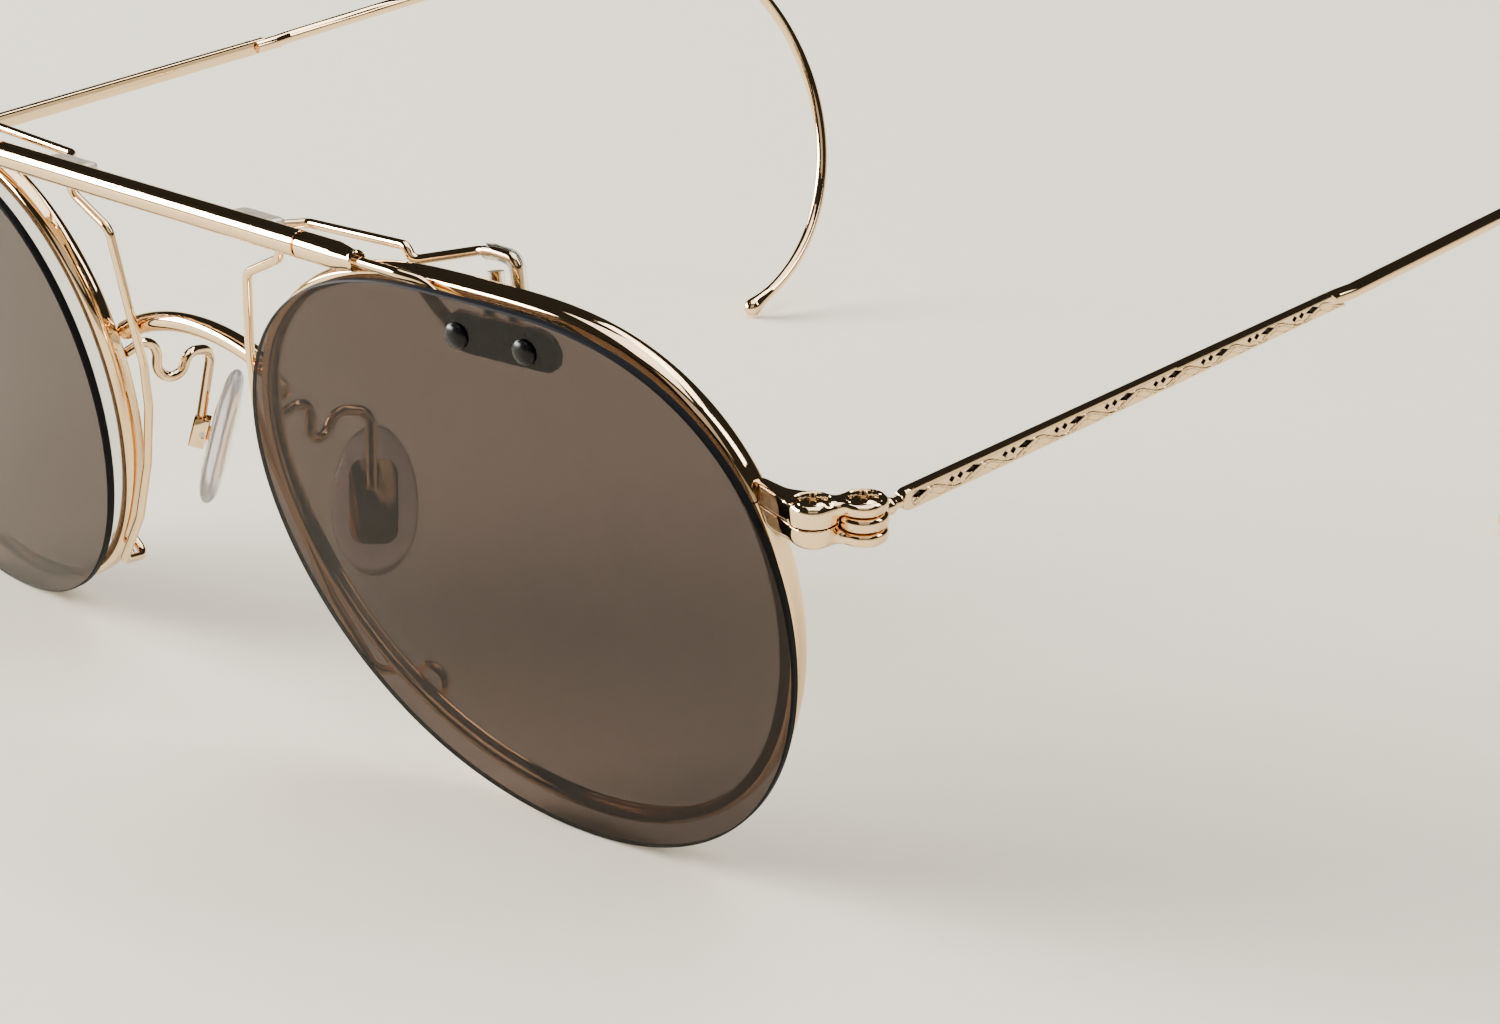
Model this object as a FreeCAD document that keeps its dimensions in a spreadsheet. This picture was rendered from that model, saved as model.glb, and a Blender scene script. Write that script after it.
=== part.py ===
import FreeCAD, Part
import math
import os
from FreeCAD import Placement, Rotation, Vector

# Flip up sunglasses: a gold wire spectacle frame with curled temples, and a clip whose brown
# lenses swing up about a barrel above the bridge. X runs from one lens to the other, with the
# wearer's left at +X, Y runs from the front to the ears, Z up. The table is at Z = 0.
# Lengths in millimetres, angles in degrees.

sizes = {
    # Brown lens and its stance
    "lens_radius": 23.8,
    "lens_spacing": 72.4,
    "lens_wrap": 5.9,
    "lens_tilt": 12.4,
    "lens_thickness": 0.7,
    "lens_curve": 1000.0,
    # Rim and clear lens behind the brown lens
    "rim_inset": 0.9,
    "rim_lift": 0.35,
    "rim_under": 0.3,
    "rim_set_back": 2.0,
    "rim_depth": 2.0,
    "rim_wall": 1.1,
    "rim_edge": 0.25,
    "groove_depth": 0.5,
    "groove_width": 1.2,
    "groove_play": 0.04,
    # Bridge between the rims
    "bridge_radius": 0.8,
    "bridge_rise": 2.5,
    "bridge_angle": 165.6,
    "bridge_forward": 0.3,
    "bridge_sink": 0.1,
    # Hinge, end piece and screws
    "hinge_angle": 15.7,
    "hinge_out": 6.4,
    "hinge_back": 2.6,
    "hinge_height": 3.1,
    "hinge_cant": 3.0,
    "knuckle_radius": 1.7,
    "middle_knuckle": 1.05,
    "knuckle_gap": 0.06,
    "lock_in": 2.2,
    "lock_fore": 2.5,
    "lock_split": 0.12,
    "waist_width": 1.8,
    "strap_width": 1.9,
    "strap_root_width": 3.3,
    "strap_length": 5.4,
    "strap_turn": 9.3,
    "screw_radius": 0.6,
    "screw_head_radius": 1.2,
    "screw_head_depth": 0.6,
    "screw_recess": 0.05,
    "screw_play": 0.03,
    "slot_length": 1.7,
    "slot_width": 0.28,
    "slot_depth": 0.3,
    # Temple bar, wire and ear curl
    "temple_rise": 4.9,
    "neck_radius": 0.48,
    "bar_start": 4.1,
    "bar_length": 48.4,
    "bar_height": 1.5,
    "bar_end_height": 1.4,
    "bar_thickness": 0.9,
    "bar_end_thickness": 0.75,
    "wire_radius": 0.62,
    "wire_length": 44.5,
    "wire_rise": 5.85,
    "wire_turn_in": 0.6,
    "curl_lean": 21.2,
    "curl_sweep": 164.0,
    "tip_radius": 1.15,
    "tip_length": 3.0,
    # Nose pads and their arms
    "arm_angle": 169.5,
    "arm_radius": 0.42,
    "arm_bend": 1.3,
    "pad_out": 0.9,
    "pad_back": 7.8,
    "pad_drop": 8.6,
    "pad_splay": 45.0,
    "pad_lean": 15.5,
    "pad_half_width": 3.4,
    "pad_half_height": 5.9,
    "pad_thickness": 1.8,
    "pad_edge": 0.7,
    "box_width": 1.8,
    "box_height": 2.4,
    "box_wall": 0.35,
    "box_front": 0.3,
    "stud_radius": 0.5,
    "stud_play": 0.12,
    "pin_radius": 0.25,
    "pin_play": 0.03,
    "insert_width": 3.8,
    "insert_height": 6.6,
    "insert_thickness": 0.35,
    "insert_offset": 0.6,
    "insert_corner": 1.2,
    # Barrel of the clip and what turns in it
    "barrel_angle": 128.4,
    "barrel_out": 2.4,
    "barrel_back": 0.1,
    "barrel_radius": 1.03,
    "barrel_bore": 0.72,
    "barrel_length": 38.0,
    "seam_gap": 0.08,
    "shaft_radius": 0.45,
    "shaft_play": 0.02,
    "shaft_grip": 2.4,
    "sleeve_length": 24.0,
    "sleeve_slot": 0.25,
    "ferrule_length": 4.0,
    "ferrule_taper": 2.2,
    "ferrule_end_radius": 0.7,
    # Lens wire, plate and rivets
    "lens_wire_radius": 0.4,
    "lens_wire_lead": 4.2,
    "lens_wire_angle": 104.0,
    "lens_wire_clear": 0.15,
    "lens_wire_bend": 2.0,
    "plate_length": 10.4,
    "plate_height": 3.2,
    "plate_thickness": 0.5,
    "plate_angle": 90.0,
    "plate_inset": 2.85,
    "plate_offset": 2.45,
    "rivet_spacing": 6.3,
    "rivet_offset": 1.85,
    "rivet_radius": 0.5,
    "rivet_head_radius": 1.0,
    "rivet_head_height": 0.55,
    "rivet_tail_radius": 0.8,
    "rivet_tail_height": 0.3,
    "rivet_play": 0.02,
    # Lugs, clip wires with their clear sleeves, and nasal wires
    "lug_inset": 4.8,
    "lug_length": 4.9,
    "lug_height": 1.4,
    "lug_depth": 2.5,
    "lug_rise": 0.0,
    "lug_edge": 0.4,
    "clip_radius": 0.37,
    "clip_bend": 0.9,
    "clip_stand": 3.4,
    "loop_depth": 5.7,
    "tube_radius": 0.6,
    "nasal_radius": 0.37,
    "nasal_bend": 1.2,
    "nasal_root": 0.7,
    "nasal_reach": 4.9,
    "nasal_edge": 1.1,
    "hook_clear": 0.22,
    "hook_height": 2.4,
    "hook_bend": 0.7,
    # Overrun of cutting bodies
    "overrun": 1.0,
}

# Waves of the lens outline about its mean radius: order, cosine share, sine share
outline_shares = ((2, 0.070, -0.025), (3, -0.008, 0.034), (4, -0.015, -0.002))
outline_points = 48

# Pad arm between the rim and the pad box: shares of pad_out, pad_back and pad_drop
arm_shares = (
    (0.0, 0.44, 0.14),
    (-0.22, 0.29, -0.49),
    (-0.67, 0.64, -0.27),
    (-0.6, 0.72, -0.11),
    (0.21, 1.09, -0.17),
)

# Clip wire from the lug over the rim, then its loop to the open end: rim angle, share of
# loop_depth outwards and share of clip_stand behind the rim
clip_shares = ((135.3, 0.63, 0.65), (113.9, 0.055, 0.35), (113.6, -0.13, 0.27))
loop_shares = (
    (101.9, -0.08, 1.0),
    (97.1, -0.03, 0.96),
    (91.1, -0.03, 0.90),
    (88.2, -0.97, 0.52),
    (97.6, -0.97, 0.54),
    (97.6, -0.27, 0.88),
)

# Nasal wire beside the rim: rim angle, share of nasal_reach outwards, share of rim_depth back
nasal_shares = (
    (141.5, 0.60, 1.25),
    (149.6, 1.0, 1.3),
    (161.7, 0.63, 1.0),
    (170.6, 0.55, 0.9),
    (178.7, 0.41, 0.8),
)
nasal_edge_shares = ((191.4, 0.6), (204.7, 0.25), (220.0, -0.1))
hook_angles = (225.2, 226.1, 231.6, 232.2)
hook_shares = (0.37, -1.0, -0.7, 0.2)

doc = FreeCAD.newDocument("flip_up_sunglasses")
sheet = doc.addObject("Spreadsheet::Sheet", "sizes")
for row, (alias, value) in enumerate(sizes.items(), start=1):
    sheet.set(f"A{row}", alias)
    sheet.set(f"B{row}", str(value))
    sheet.setAlias(f"B{row}", alias)
doc.recompute()

x_axis = Vector(1, 0, 0)
y_axis = Vector(0, 1, 0)
z_axis = Vector(0, 0, 1)
along_x = Rotation(y_axis, 90)
along_y = Rotation(x_axis, -90)
along_back = Rotation(x_axis, 90)
nodes = []


def size(alias):
    return float(sheet.get(alias))


def shifted(frame, x=0, y=0, z=0, turn=Rotation()):
    return frame.multiply(Placement(Vector(x, y, z), turn))


# Document objects

def primitive(kind, name, place, **bindings):
    item = doc.addObject("Part::" + kind, name)
    for prop, expression in bindings.items():
        item.setExpression(prop, expression)
    item.Placement = place
    return item


def feature(name, shape, place=Placement()):
    item = doc.addObject("Part::Feature", name)
    item.Shape = shape
    item.Placement = place.multiply(shape.Placement)
    return item


def fuse(name, *items):
    item = doc.addObject("Part::MultiFuse", name)
    item.Shapes = list(items)
    return item


def cut(name, base, *tools):
    for tool in tools:
        item = doc.addObject("Part::Cut", name + "_cut")
        item.Base = base
        item.Tool = tool
        base = item
    return base


def keep(node, item):
    item.Label = node
    nodes.append(item)
    return item


def keep_pair(node, item):
    keep(node + "_left", item)
    mirror = doc.addObject("Part::Mirroring", node + "_mirror")
    mirror.Source = item
    mirror.Normal = x_axis
    keep(node + "_right", mirror)


# Lens outline and the frames that follow it

def outline_radius(angle):
    turn = math.radians(angle)
    waves = sum(c * math.cos(n * turn) + s * math.sin(n * turn) for n, c, s in outline_shares)
    return size("lens_radius") * (1 + waves)


def outline_slope(angle):
    turn = math.radians(angle)
    waves = sum(n * (s * math.cos(n * turn) - c * math.sin(n * turn)) for n, c, s in outline_shares)
    return size("lens_radius") * waves


def outline_point(angle, offset):
    turn = math.radians(angle)
    radial = Vector(math.cos(turn), 0, math.sin(turn))
    tangent = Vector(-math.sin(turn), 0, math.cos(turn))
    normal = (radial * outline_radius(angle) - tangent * outline_slope(angle)).normalize()
    return radial * outline_radius(angle) + normal * offset


def outline_plate(offset, start, thickness):
    angles = [360 * number / outline_points for number in range(outline_points)]
    curve = Part.BSplineCurve()
    curve.interpolate([outline_point(angle, offset) for angle in angles], PeriodicFlag=True)
    plate = Part.Face(Part.Wire(curve.toShape())).extrude(y_axis * thickness)
    return plate.translated(y_axis * start)


def sag(u, w):
    return (u ** 2 + w ** 2) / (2 * size("lens_curve"))


# The brown lens touches the table
def lens_height():
    tilt = math.radians(size("lens_tilt"))
    heights = []
    for number in range(outline_points):
        edge = outline_point(360 * number / outline_points, 0)
        heights.append(edge.z * math.cos(tilt) + sag(edge.x, edge.z) * math.sin(tilt))
    return -min(heights)


lens_turn = Rotation(z_axis, size("lens_wrap")).multiply(Rotation(x_axis, size("lens_tilt")))
lens_frame = Placement(Vector(size("lens_spacing") / 2, 0, lens_height()), lens_turn)
rim_frame = shifted(lens_frame, -size("rim_inset"), size("rim_set_back"), size("rim_lift"))


def polar(frame, angle, out, back):
    turn = math.radians(angle)
    reach = outline_radius(angle) + out
    return frame.multVec(Vector(reach * math.cos(turn), back, reach * math.sin(turn)))


def by_rim(angle, out, back):
    return polar(rim_frame, angle, out - size("rim_under"), back)


def rim_plate(inset, start, thickness):
    return outline_plate(-size("rim_under") - inset, start, thickness)


hinge_place = by_rim(size("hinge_angle"), size("hinge_out"), size("hinge_back"))
hinge_turn = Rotation(x_axis, size("temple_rise")).multiply(Rotation(y_axis, size("hinge_cant")))
hinge_frame = Placement(hinge_place, hinge_turn)
lock_frame = shifted(hinge_frame, -size("lock_in"), -size("lock_fore"))
barrel_point = by_rim(size("barrel_angle"), size("barrel_out"), size("barrel_back"))
barrel_middle = Vector(0, barrel_point.y, barrel_point.z)
barrel_frame = Placement(barrel_middle, Rotation())
lug_start = size("barrel_length") / 2 - size("lug_inset") - size("lug_length")
ferrule_start = size("barrel_length") / 2 + size("seam_gap")
ferrule_end = ferrule_start + size("ferrule_length") + size("ferrule_taper")
arm_root = by_rim(size("arm_angle"), -size("rim_wall") / 2, size("rim_depth"))
pad_place = arm_root + Vector(size("pad_out"), size("pad_back"), -size("pad_drop"))
pad_turn = Rotation(z_axis, size("pad_splay")).multiply(Rotation(x_axis, -size("pad_lean")))
pad_frame = Placement(pad_place, pad_turn)


# Bent wire: straight runs joined by tangent arcs, each using up to this share of its runs
bend_share = 0.45


def bent_path(points, bend):
    edges = []
    start = points[0]
    for before, corner, after in zip(points, points[1:], points[2:]):
        incoming = corner - before
        outgoing = after - corner
        turn = incoming.getAngle(outgoing)
        tangent = math.tan(turn / 2)
        setback = min(bend * tangent, bend_share * min(incoming.Length, outgoing.Length))
        radius = setback / tangent
        arc_start = corner - incoming.normalize() * setback
        arc_end = corner + outgoing.normalize() * setback
        inward = (outgoing - incoming).normalize()
        arc_middle = corner + inward * (radius / math.cos(turn / 2) - radius)
        edges.append(Part.LineSegment(start, arc_start).toShape())
        edges.append(Part.Arc(arc_start, arc_middle, arc_end).toShape())
        start = arc_end
    edges.append(Part.LineSegment(start, points[-1]).toShape())
    return Part.Wire(edges)


def round_bar(path, radius):
    first = path.Edges[0]
    heading = first.tangentAt(first.FirstParameter)
    circle = Part.makeCircle(radius, first.valueAt(first.FirstParameter), heading)
    bar = path.makePipeShell([Part.Wire(circle)], True, False)
    share = bar.Volume / (math.pi * radius ** 2 * path.Length)
    print("bar volume share of section times length", round(share, 4))
    return bar


def largest(shape):
    return max(shape.Solids, key=lambda solid: solid.Volume)


def rim_envelope():
    envelope = rim_plate(0, 0, size("rim_depth"))
    envelope.Placement = rim_frame
    return envelope


# Spectacle frame

def make_rim():
    depth = size("rim_depth")
    wall = size("rim_wall")
    ring = rim_plate(0, 0, depth).cut(rim_plate(wall, 0, depth))
    rounded = [edge for edge in ring.Edges if edge.Length > size("lens_radius")]
    ring = ring.makeFillet(size("rim_edge"), rounded)
    groove_start = (depth - size("groove_width")) / 2
    groove = rim_plate(wall - size("groove_depth"), groove_start, size("groove_width"))
    slot = Part.makeBox(size("strap_length") + wall, depth * 2, size("lock_split"))
    slot.translate(Vector(0, -depth, -size("lock_split") / 2))
    slot.Placement = rim_frame.inverse().multiply(strap_frame()).multiply(slot.Placement)
    keep_pair("rim", feature("rim", ring.cut(groove).cut(slot), rim_frame))


def make_eye_lens():
    play = size("groove_play")
    start = (size("rim_depth") - size("groove_width")) / 2 + play
    inset = size("rim_wall") - size("groove_depth") + play
    lens = rim_plate(inset, start, size("groove_width") - 2 * play)
    keep_pair("eye_lens", feature("eye_lens", lens, rim_frame))


def make_bridge():
    sink = size("rim_depth") + size("bridge_radius") - size("bridge_sink")
    end = by_rim(size("bridge_angle"), -size("rim_wall") / 2, sink)
    crown = Vector(0, end.y - size("bridge_forward"), end.z + size("bridge_rise"))
    other = Vector(-end.x, end.y, end.z)
    path = Part.Wire(Part.Arc(end, crown, other).toShape())
    envelope = rim_envelope()
    bar = round_bar(path, size("bridge_radius"))
    bar = bar.cut(envelope).cut(envelope.mirror(Vector(), x_axis))
    keep("bridge", feature("bridge", largest(bar)))


def strap_frame():
    return shifted(lock_frame, turn=Rotation(z_axis, 180 - size("strap_turn")))


def make_end_pieces():
    knuckle_base = size("middle_knuckle") / 2 + size("knuckle_gap")
    half_split = size("lock_split") / 2
    half_height = size("hinge_height") / 2
    waist_angle = math.degrees(math.atan2(-size("lock_fore"), -size("lock_in")))
    waist_turn = Rotation(z_axis, waist_angle)
    envelope = feature("rim_envelope", rim_envelope())
    for half, up in (("upper", 1), ("lower", -1)):
        flip = Rotation() if up > 0 else Rotation(x_axis, 180)
        lock_base = shifted(lock_frame, z=up * half_split, turn=flip)
        knuckle_place = shifted(hinge_frame, z=up * knuckle_base, turn=flip)
        knuckle_rise = "(sizes.hinge_height - sizes.middle_knuckle) / 2 - sizes.knuckle_gap"
        lobe_rise = "(sizes.hinge_height - sizes.lock_split) / 2"
        lobe = primitive("Cylinder", "lock_lobe", lock_base,
                         Radius="sizes.knuckle_radius", Height=lobe_rise)
        knuckle = primitive("Cylinder", "knuckle", knuckle_place,
                            Radius="sizes.knuckle_radius", Height=knuckle_rise)
        waist_low = knuckle_base if up > 0 else -half_height
        waist_frame = shifted(hinge_frame, z=waist_low, turn=waist_turn)
        waist = primitive("Box", "waist", shifted(waist_frame, y=-size("waist_width") / 2),
                          Length="sqrt(sizes.lock_in ^ 2 + sizes.lock_fore ^ 2)",
                          Width="sizes.waist_width", Height=knuckle_rise)
        strap_low = half_split if up > 0 else -half_height
        strap_place = shifted(strap_frame(), z=strap_low, turn=Rotation(z_axis, -90))
        strap = primitive("Wedge", "strap", strap_place, Ymax="sizes.strap_length",
                          Xmin="-sizes.strap_root_width / 2", Xmax="sizes.strap_root_width / 2",
                          X2min="-sizes.strap_width / 2", X2max="sizes.strap_width / 2",
                          Zmax=lobe_rise, Z2max=lobe_rise)
        strap.Ymin = strap.Zmin = strap.Z2min = 0
        room_place = shifted(hinge_frame, z=-knuckle_base)
        room = primitive("Cylinder", "knuckle_room", room_place,
                         Radius="sizes.knuckle_radius + sizes.knuckle_gap",
                         Height="sizes.middle_knuckle + 2 * sizes.knuckle_gap")
        tools = [envelope, room] + screw_room(lock_frame) + screw_room(hinge_frame)
        body = cut("end_piece_" + half, fuse("end_block", lobe, knuckle, waist, strap), *tools)
        keep_pair("end_piece_" + half, body)


# Screw, its head sunk in the upper half, and the room that it needs

def screw_head_base():
    return size("hinge_height") / 2 - size("screw_recess") - size("screw_head_depth")


def screw_room(frame):
    shank = primitive("Cylinder", "screw_hole",
                      shifted(frame, z=-size("hinge_height") / 2 - size("overrun")),
                      Radius="sizes.screw_radius + sizes.screw_play",
                      Height="sizes.hinge_height + 2 * sizes.overrun")
    sink = primitive("Cone", "countersink", shifted(frame, z=screw_head_base()),
                     Radius1="sizes.screw_radius + sizes.screw_play",
                     Radius2="sizes.screw_head_radius + sizes.screw_play",
                     Height="sizes.screw_head_depth")
    mouth = primitive("Cylinder", "countersink_mouth",
                      shifted(frame, z=screw_head_base() + size("screw_head_depth")),
                      Radius="sizes.screw_head_radius + sizes.screw_play",
                      Height="sizes.overrun")
    return [shank, sink, mouth]


def make_screw(node, frame):
    shank = primitive("Cylinder", "shank", shifted(frame, z=-size("hinge_height") / 2),
                      Radius="sizes.screw_radius",
                      Height="sizes.hinge_height - sizes.screw_recess - sizes.screw_head_depth")
    head = primitive("Cone", "head", shifted(frame, z=screw_head_base()),
                     Radius1="sizes.screw_radius", Radius2="sizes.screw_head_radius",
                     Height="sizes.screw_head_depth")
    slot_base = screw_head_base() + size("screw_head_depth") - size("slot_depth")
    slots = []
    for turn in (45, 135):
        turned = shifted(frame, z=slot_base, turn=Rotation(z_axis, turn))
        place = shifted(turned, -size("slot_length") / 2, -size("slot_width") / 2)
        slots.append(primitive("Box", "slot", place, Length="sizes.slot_length",
                               Width="sizes.slot_width", Height="sizes.slot_depth"))
    keep_pair(node, cut(node, fuse("screw_body", shank, head), *slots))


# Temple

def make_temple_bar():
    half_knuckle = size("middle_knuckle") / 2
    knuckle = primitive("Cylinder", "middle_knuckle", shifted(hinge_frame, z=-half_knuckle),
                        Radius="sizes.knuckle_radius", Height="sizes.middle_knuckle")
    neck_start = size("screw_radius") + size("screw_play")
    neck = primitive("Cone", "neck", shifted(hinge_frame, y=neck_start, turn=along_y),
                     Radius1="sizes.neck_radius", Radius2="sizes.bar_thickness / 2",
                     Height="sizes.bar_start - sizes.screw_radius - sizes.screw_play")
    nose_place = shifted(hinge_frame, -size("bar_thickness") / 2, size("bar_start"), turn=along_x)
    nose = primitive("Cylinder", "bar_nose", nose_place,
                     Radius="sizes.bar_height / 2", Height="sizes.bar_thickness")
    bar = primitive("Wedge", "bar", hinge_frame,
                    Xmin="-sizes.bar_thickness / 2", Xmax="sizes.bar_thickness / 2",
                    X2min="-sizes.bar_end_thickness / 2", X2max="sizes.bar_end_thickness / 2",
                    Zmin="-sizes.bar_height / 2", Zmax="sizes.bar_height / 2",
                    Z2min="-sizes.bar_end_height / 2", Z2max="sizes.bar_end_height / 2",
                    Ymin="sizes.bar_start", Ymax="sizes.bar_start + sizes.bar_length")
    hole = screw_room(hinge_frame)[0]
    keep_pair("temple_bar", cut("temple_bar", fuse("temple_body", knuckle, neck, nose, bar), hole))


def curl_frame():
    turn = Rotation(z_axis, size("wire_turn_in")).multiply(Rotation(x_axis, size("wire_rise")))
    heading = turn.multVec(y_axis)
    lean = math.radians(size("curl_lean"))
    inward = turn.multVec(Vector(-math.sin(lean), 0, -math.cos(lean)))
    bar_end = Vector(0, size("bar_start") + size("bar_length"), 0)
    start = hinge_frame.multVec(bar_end)
    return start, heading, inward


# The curl's radius lets the ear tip touch the table
def curl_radius():
    start, heading, inward = curl_frame()
    sweep = math.radians(size("curl_sweep"))
    tangent = heading * math.cos(sweep) + inward * math.sin(sweep)
    fall = heading * math.sin(sweep) + inward * (1 - math.cos(sweep))
    height = start.z + heading.z * size("wire_length") + tangent.z * size("tip_length")
    return (size("tip_radius") - height) / fall.z


def curl_point(sweep):
    start, heading, inward = curl_frame()
    turn = math.radians(sweep)
    bend = heading * math.sin(turn) + inward * (1 - math.cos(turn))
    return start + heading * size("wire_length") + bend * curl_radius()


def make_temple_wire():
    start = curl_frame()[0]
    sweep = size("curl_sweep")
    run = Part.LineSegment(start, curl_point(0)).toShape()
    curl = Part.Arc(curl_point(0), curl_point(sweep / 2), curl_point(sweep)).toShape()
    wire = round_bar(Part.Wire([run, curl]), size("wire_radius"))
    keep_pair("temple_wire", feature("temple_wire", wire))


def make_ear_tip():
    start, heading, inward = curl_frame()
    sweep = math.radians(size("curl_sweep"))
    tangent = heading * math.cos(sweep) + inward * math.sin(sweep)
    frame = Placement(curl_point(size("curl_sweep")), Rotation(z_axis, tangent))
    neck = primitive("Cone", "tip_neck", frame, Radius1="sizes.wire_radius",
                     Radius2="sizes.tip_radius", Height="sizes.tip_length")
    ball = primitive("Sphere", "tip_ball", shifted(frame, z=size("tip_length")),
                     Radius="sizes.tip_radius")
    keep_pair("ear_tip", fuse("ear_tip", neck, ball))


# Nose pads: the pad with its metal insert rocks on a pin in the box at the end of the arm

def make_pad_arm():
    reach = Vector(size("pad_out"), size("pad_back"), size("pad_drop"))
    points = [arm_root]
    for out, back, rise in arm_shares:
        points.append(arm_root + Vector(out * reach.x, back * reach.y, rise * reach.z))
    points.append(pad_frame.multVec(Vector(0, box_back() / 2, size("box_height") / 2)))
    arm = round_bar(bent_path(points, size("arm_bend")), size("arm_radius"))
    box_room = pad_box_block()
    arm = arm.cut(rim_envelope()).cut(box_room)
    keep_pair("pad_arm", feature("pad_arm", largest(arm)))


def box_back():
    return -size("stud_radius") - size("stud_play") - size("box_wall")


def pad_box_block():
    depth = size("box_front") - box_back()
    block = Part.makeBox(size("box_width"), depth, size("box_height"))
    block.translate(Vector(-size("box_width") / 2, box_back(), -size("box_height") / 2))
    block.Placement = pad_frame.multiply(block.Placement)
    return block


def make_pad_box():
    corner = shifted(pad_frame, -size("box_width") / 2, box_back(), -size("box_height") / 2)
    block = primitive("Box", "box_block", corner, Length="sizes.box_width",
                      Width="sizes.box_front + sizes.stud_radius + sizes.stud_play + sizes.box_wall",
                      Height="sizes.box_height")
    half_channel = size("box_width") / 2 - size("box_wall")
    back = -size("stud_radius") - size("stud_play")
    place = shifted(pad_frame, -half_channel, back, -size("box_height"))
    channel = primitive("Box", "box_channel", place,
                        Length="sizes.box_width - 2 * sizes.box_wall",
                        Width="sizes.box_front + sizes.stud_radius + sizes.stud_play + sizes.overrun",
                        Height="2 * sizes.box_height")
    keep_pair("pad_box", cut("pad_box", block, channel, pin_bore("sizes.pin_radius")))


def pin_bore(radius):
    place = shifted(pad_frame, -size("box_width") / 2, turn=along_x)
    return primitive("Cylinder", "pin_bore", place, Radius=radius, Height="sizes.box_width")


def make_pad_pin():
    keep_pair("pad_pin", pin_bore("sizes.pin_radius"))


def insert_plate(name):
    width = size("insert_width")
    height = size("insert_height")
    start = size("insert_offset")
    plate = Part.makeBox(width, size("insert_thickness"), height)
    plate.translate(Vector(-width / 2, start, -height / 2))
    corners = [edge for edge in plate.Edges if edge.BoundBox.YLength > edge.BoundBox.DiagonalLength / 2]
    return feature(name, plate.makeFillet(size("insert_corner"), corners), pad_frame)


def half_stud():
    return size("box_width") / 2 - size("box_wall") - size("stud_play")


def tongue_block(name):
    return primitive("Box", name, shifted(pad_frame, -half_stud(), 0, -size("stud_radius")),
                     Length="sizes.box_width - 2 * sizes.box_wall - 2 * sizes.stud_play",
                     Width="sizes.insert_offset", Height="2 * sizes.stud_radius")


def make_pad_insert():
    stud = primitive("Cylinder", "stud", shifted(pad_frame, -half_stud(), turn=along_x),
                     Radius="sizes.stud_radius",
                     Height="sizes.box_width - 2 * sizes.box_wall - 2 * sizes.stud_play")
    body = fuse("insert_body", insert_plate("insert_plate"), stud, tongue_block("tongue"))
    keep_pair("pad_insert", cut("pad_insert", body, pin_bore("sizes.pin_radius + sizes.pin_play")))


def make_nose_pad():
    oval = Part.Ellipse(Vector(), size("pad_half_height"), size("pad_half_width")).toShape()
    form = Part.Face(Part.Wire(oval)).extrude(z_axis * size("pad_thickness"))
    rims = [edge for edge in form.Edges if edge.isClosed()]
    form = form.makeFillet(size("pad_edge"), rims)
    upright = Rotation(Vector(1, 1, 1), -120)
    pad = feature("pad_form", form, shifted(pad_frame, y=size("insert_offset"), turn=upright))
    keep_pair("nose_pad", cut("nose_pad", pad, insert_plate("insert_room"), tongue_block("tongue_room")))


# Barrel of the clip, shaft, friction sleeve and ferrules

def make_barrel():
    place = shifted(barrel_frame, -size("barrel_length") / 2, turn=along_x)
    tube = primitive("Cylinder", "barrel_tube", place,
                     Radius="sizes.barrel_radius", Height="sizes.barrel_length")
    bore = primitive("Cylinder", "barrel_hole", place,
                     Radius="sizes.barrel_bore", Height="sizes.barrel_length")
    keep("clip_barrel", cut("clip_barrel", tube, bore))


def make_friction_sleeve():
    place = shifted(barrel_frame, -size("sleeve_length") / 2, turn=along_x)
    tube = primitive("Cylinder", "sleeve_tube", place,
                     Radius="sizes.barrel_bore", Height="sizes.sleeve_length")
    bore = primitive("Cylinder", "sleeve_hole", place,
                     Radius="sizes.shaft_radius + sizes.shaft_play", Height="sizes.sleeve_length")
    corner = shifted(barrel_frame, -size("sleeve_length") / 2, -size("sleeve_slot") / 2)
    slot = primitive("Box", "sleeve_gap", corner, Length="sizes.sleeve_length",
                     Width="sizes.sleeve_slot", Height="sizes.barrel_radius")
    keep("friction_sleeve", cut("friction_sleeve", tube, bore, slot))


def make_shaft():
    half = ferrule_start + size("shaft_grip")
    shaft = primitive("Cylinder", "flip_shaft", shifted(barrel_frame, -half, turn=along_x),
                      Radius="sizes.shaft_radius",
                      Height="sizes.barrel_length + 2 * sizes.seam_gap + 2 * sizes.shaft_grip")
    keep("flip_shaft", shaft)


def make_ferrule():
    place = shifted(barrel_frame, ferrule_start, turn=along_x)
    tube = primitive("Cylinder", "ferrule_tube", place,
                     Radius="sizes.barrel_radius", Height="sizes.ferrule_length")
    taper_place = shifted(place, z=size("ferrule_length"))
    taper = primitive("Cone", "ferrule_cone", taper_place, Radius1="sizes.barrel_radius",
                      Radius2="sizes.ferrule_end_radius", Height="sizes.ferrule_taper")
    shaft_hole = primitive("Cylinder", "shaft_hole", place,
                           Radius="sizes.shaft_radius", Height="sizes.shaft_grip")
    wire_hole = primitive("Cylinder", "wire_hole", shifted(place, z=size("shaft_grip")),
                          Radius="sizes.lens_wire_radius",
                          Height="sizes.ferrule_length + sizes.ferrule_taper - sizes.shaft_grip")
    keep_pair("ferrule", cut("ferrule", fuse("ferrule_body", tube, taper), shaft_hole, wire_hole))


# Brown lens with its plate, rivets and wire

def plate_height_on_lens():
    return outline_radius(size("plate_angle")) - size("plate_inset")


def plate_seat():
    far = size("plate_offset") + size("plate_length") / 2
    return size("lens_thickness") + sag(far, plate_height_on_lens() + size("plate_height") / 2)


def rivet_places():
    half = size("rivet_spacing") / 2
    height = plate_height_on_lens()
    return [Vector(size("rivet_offset") + side * half, 0, height) for side in (-1, 1)]


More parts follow.
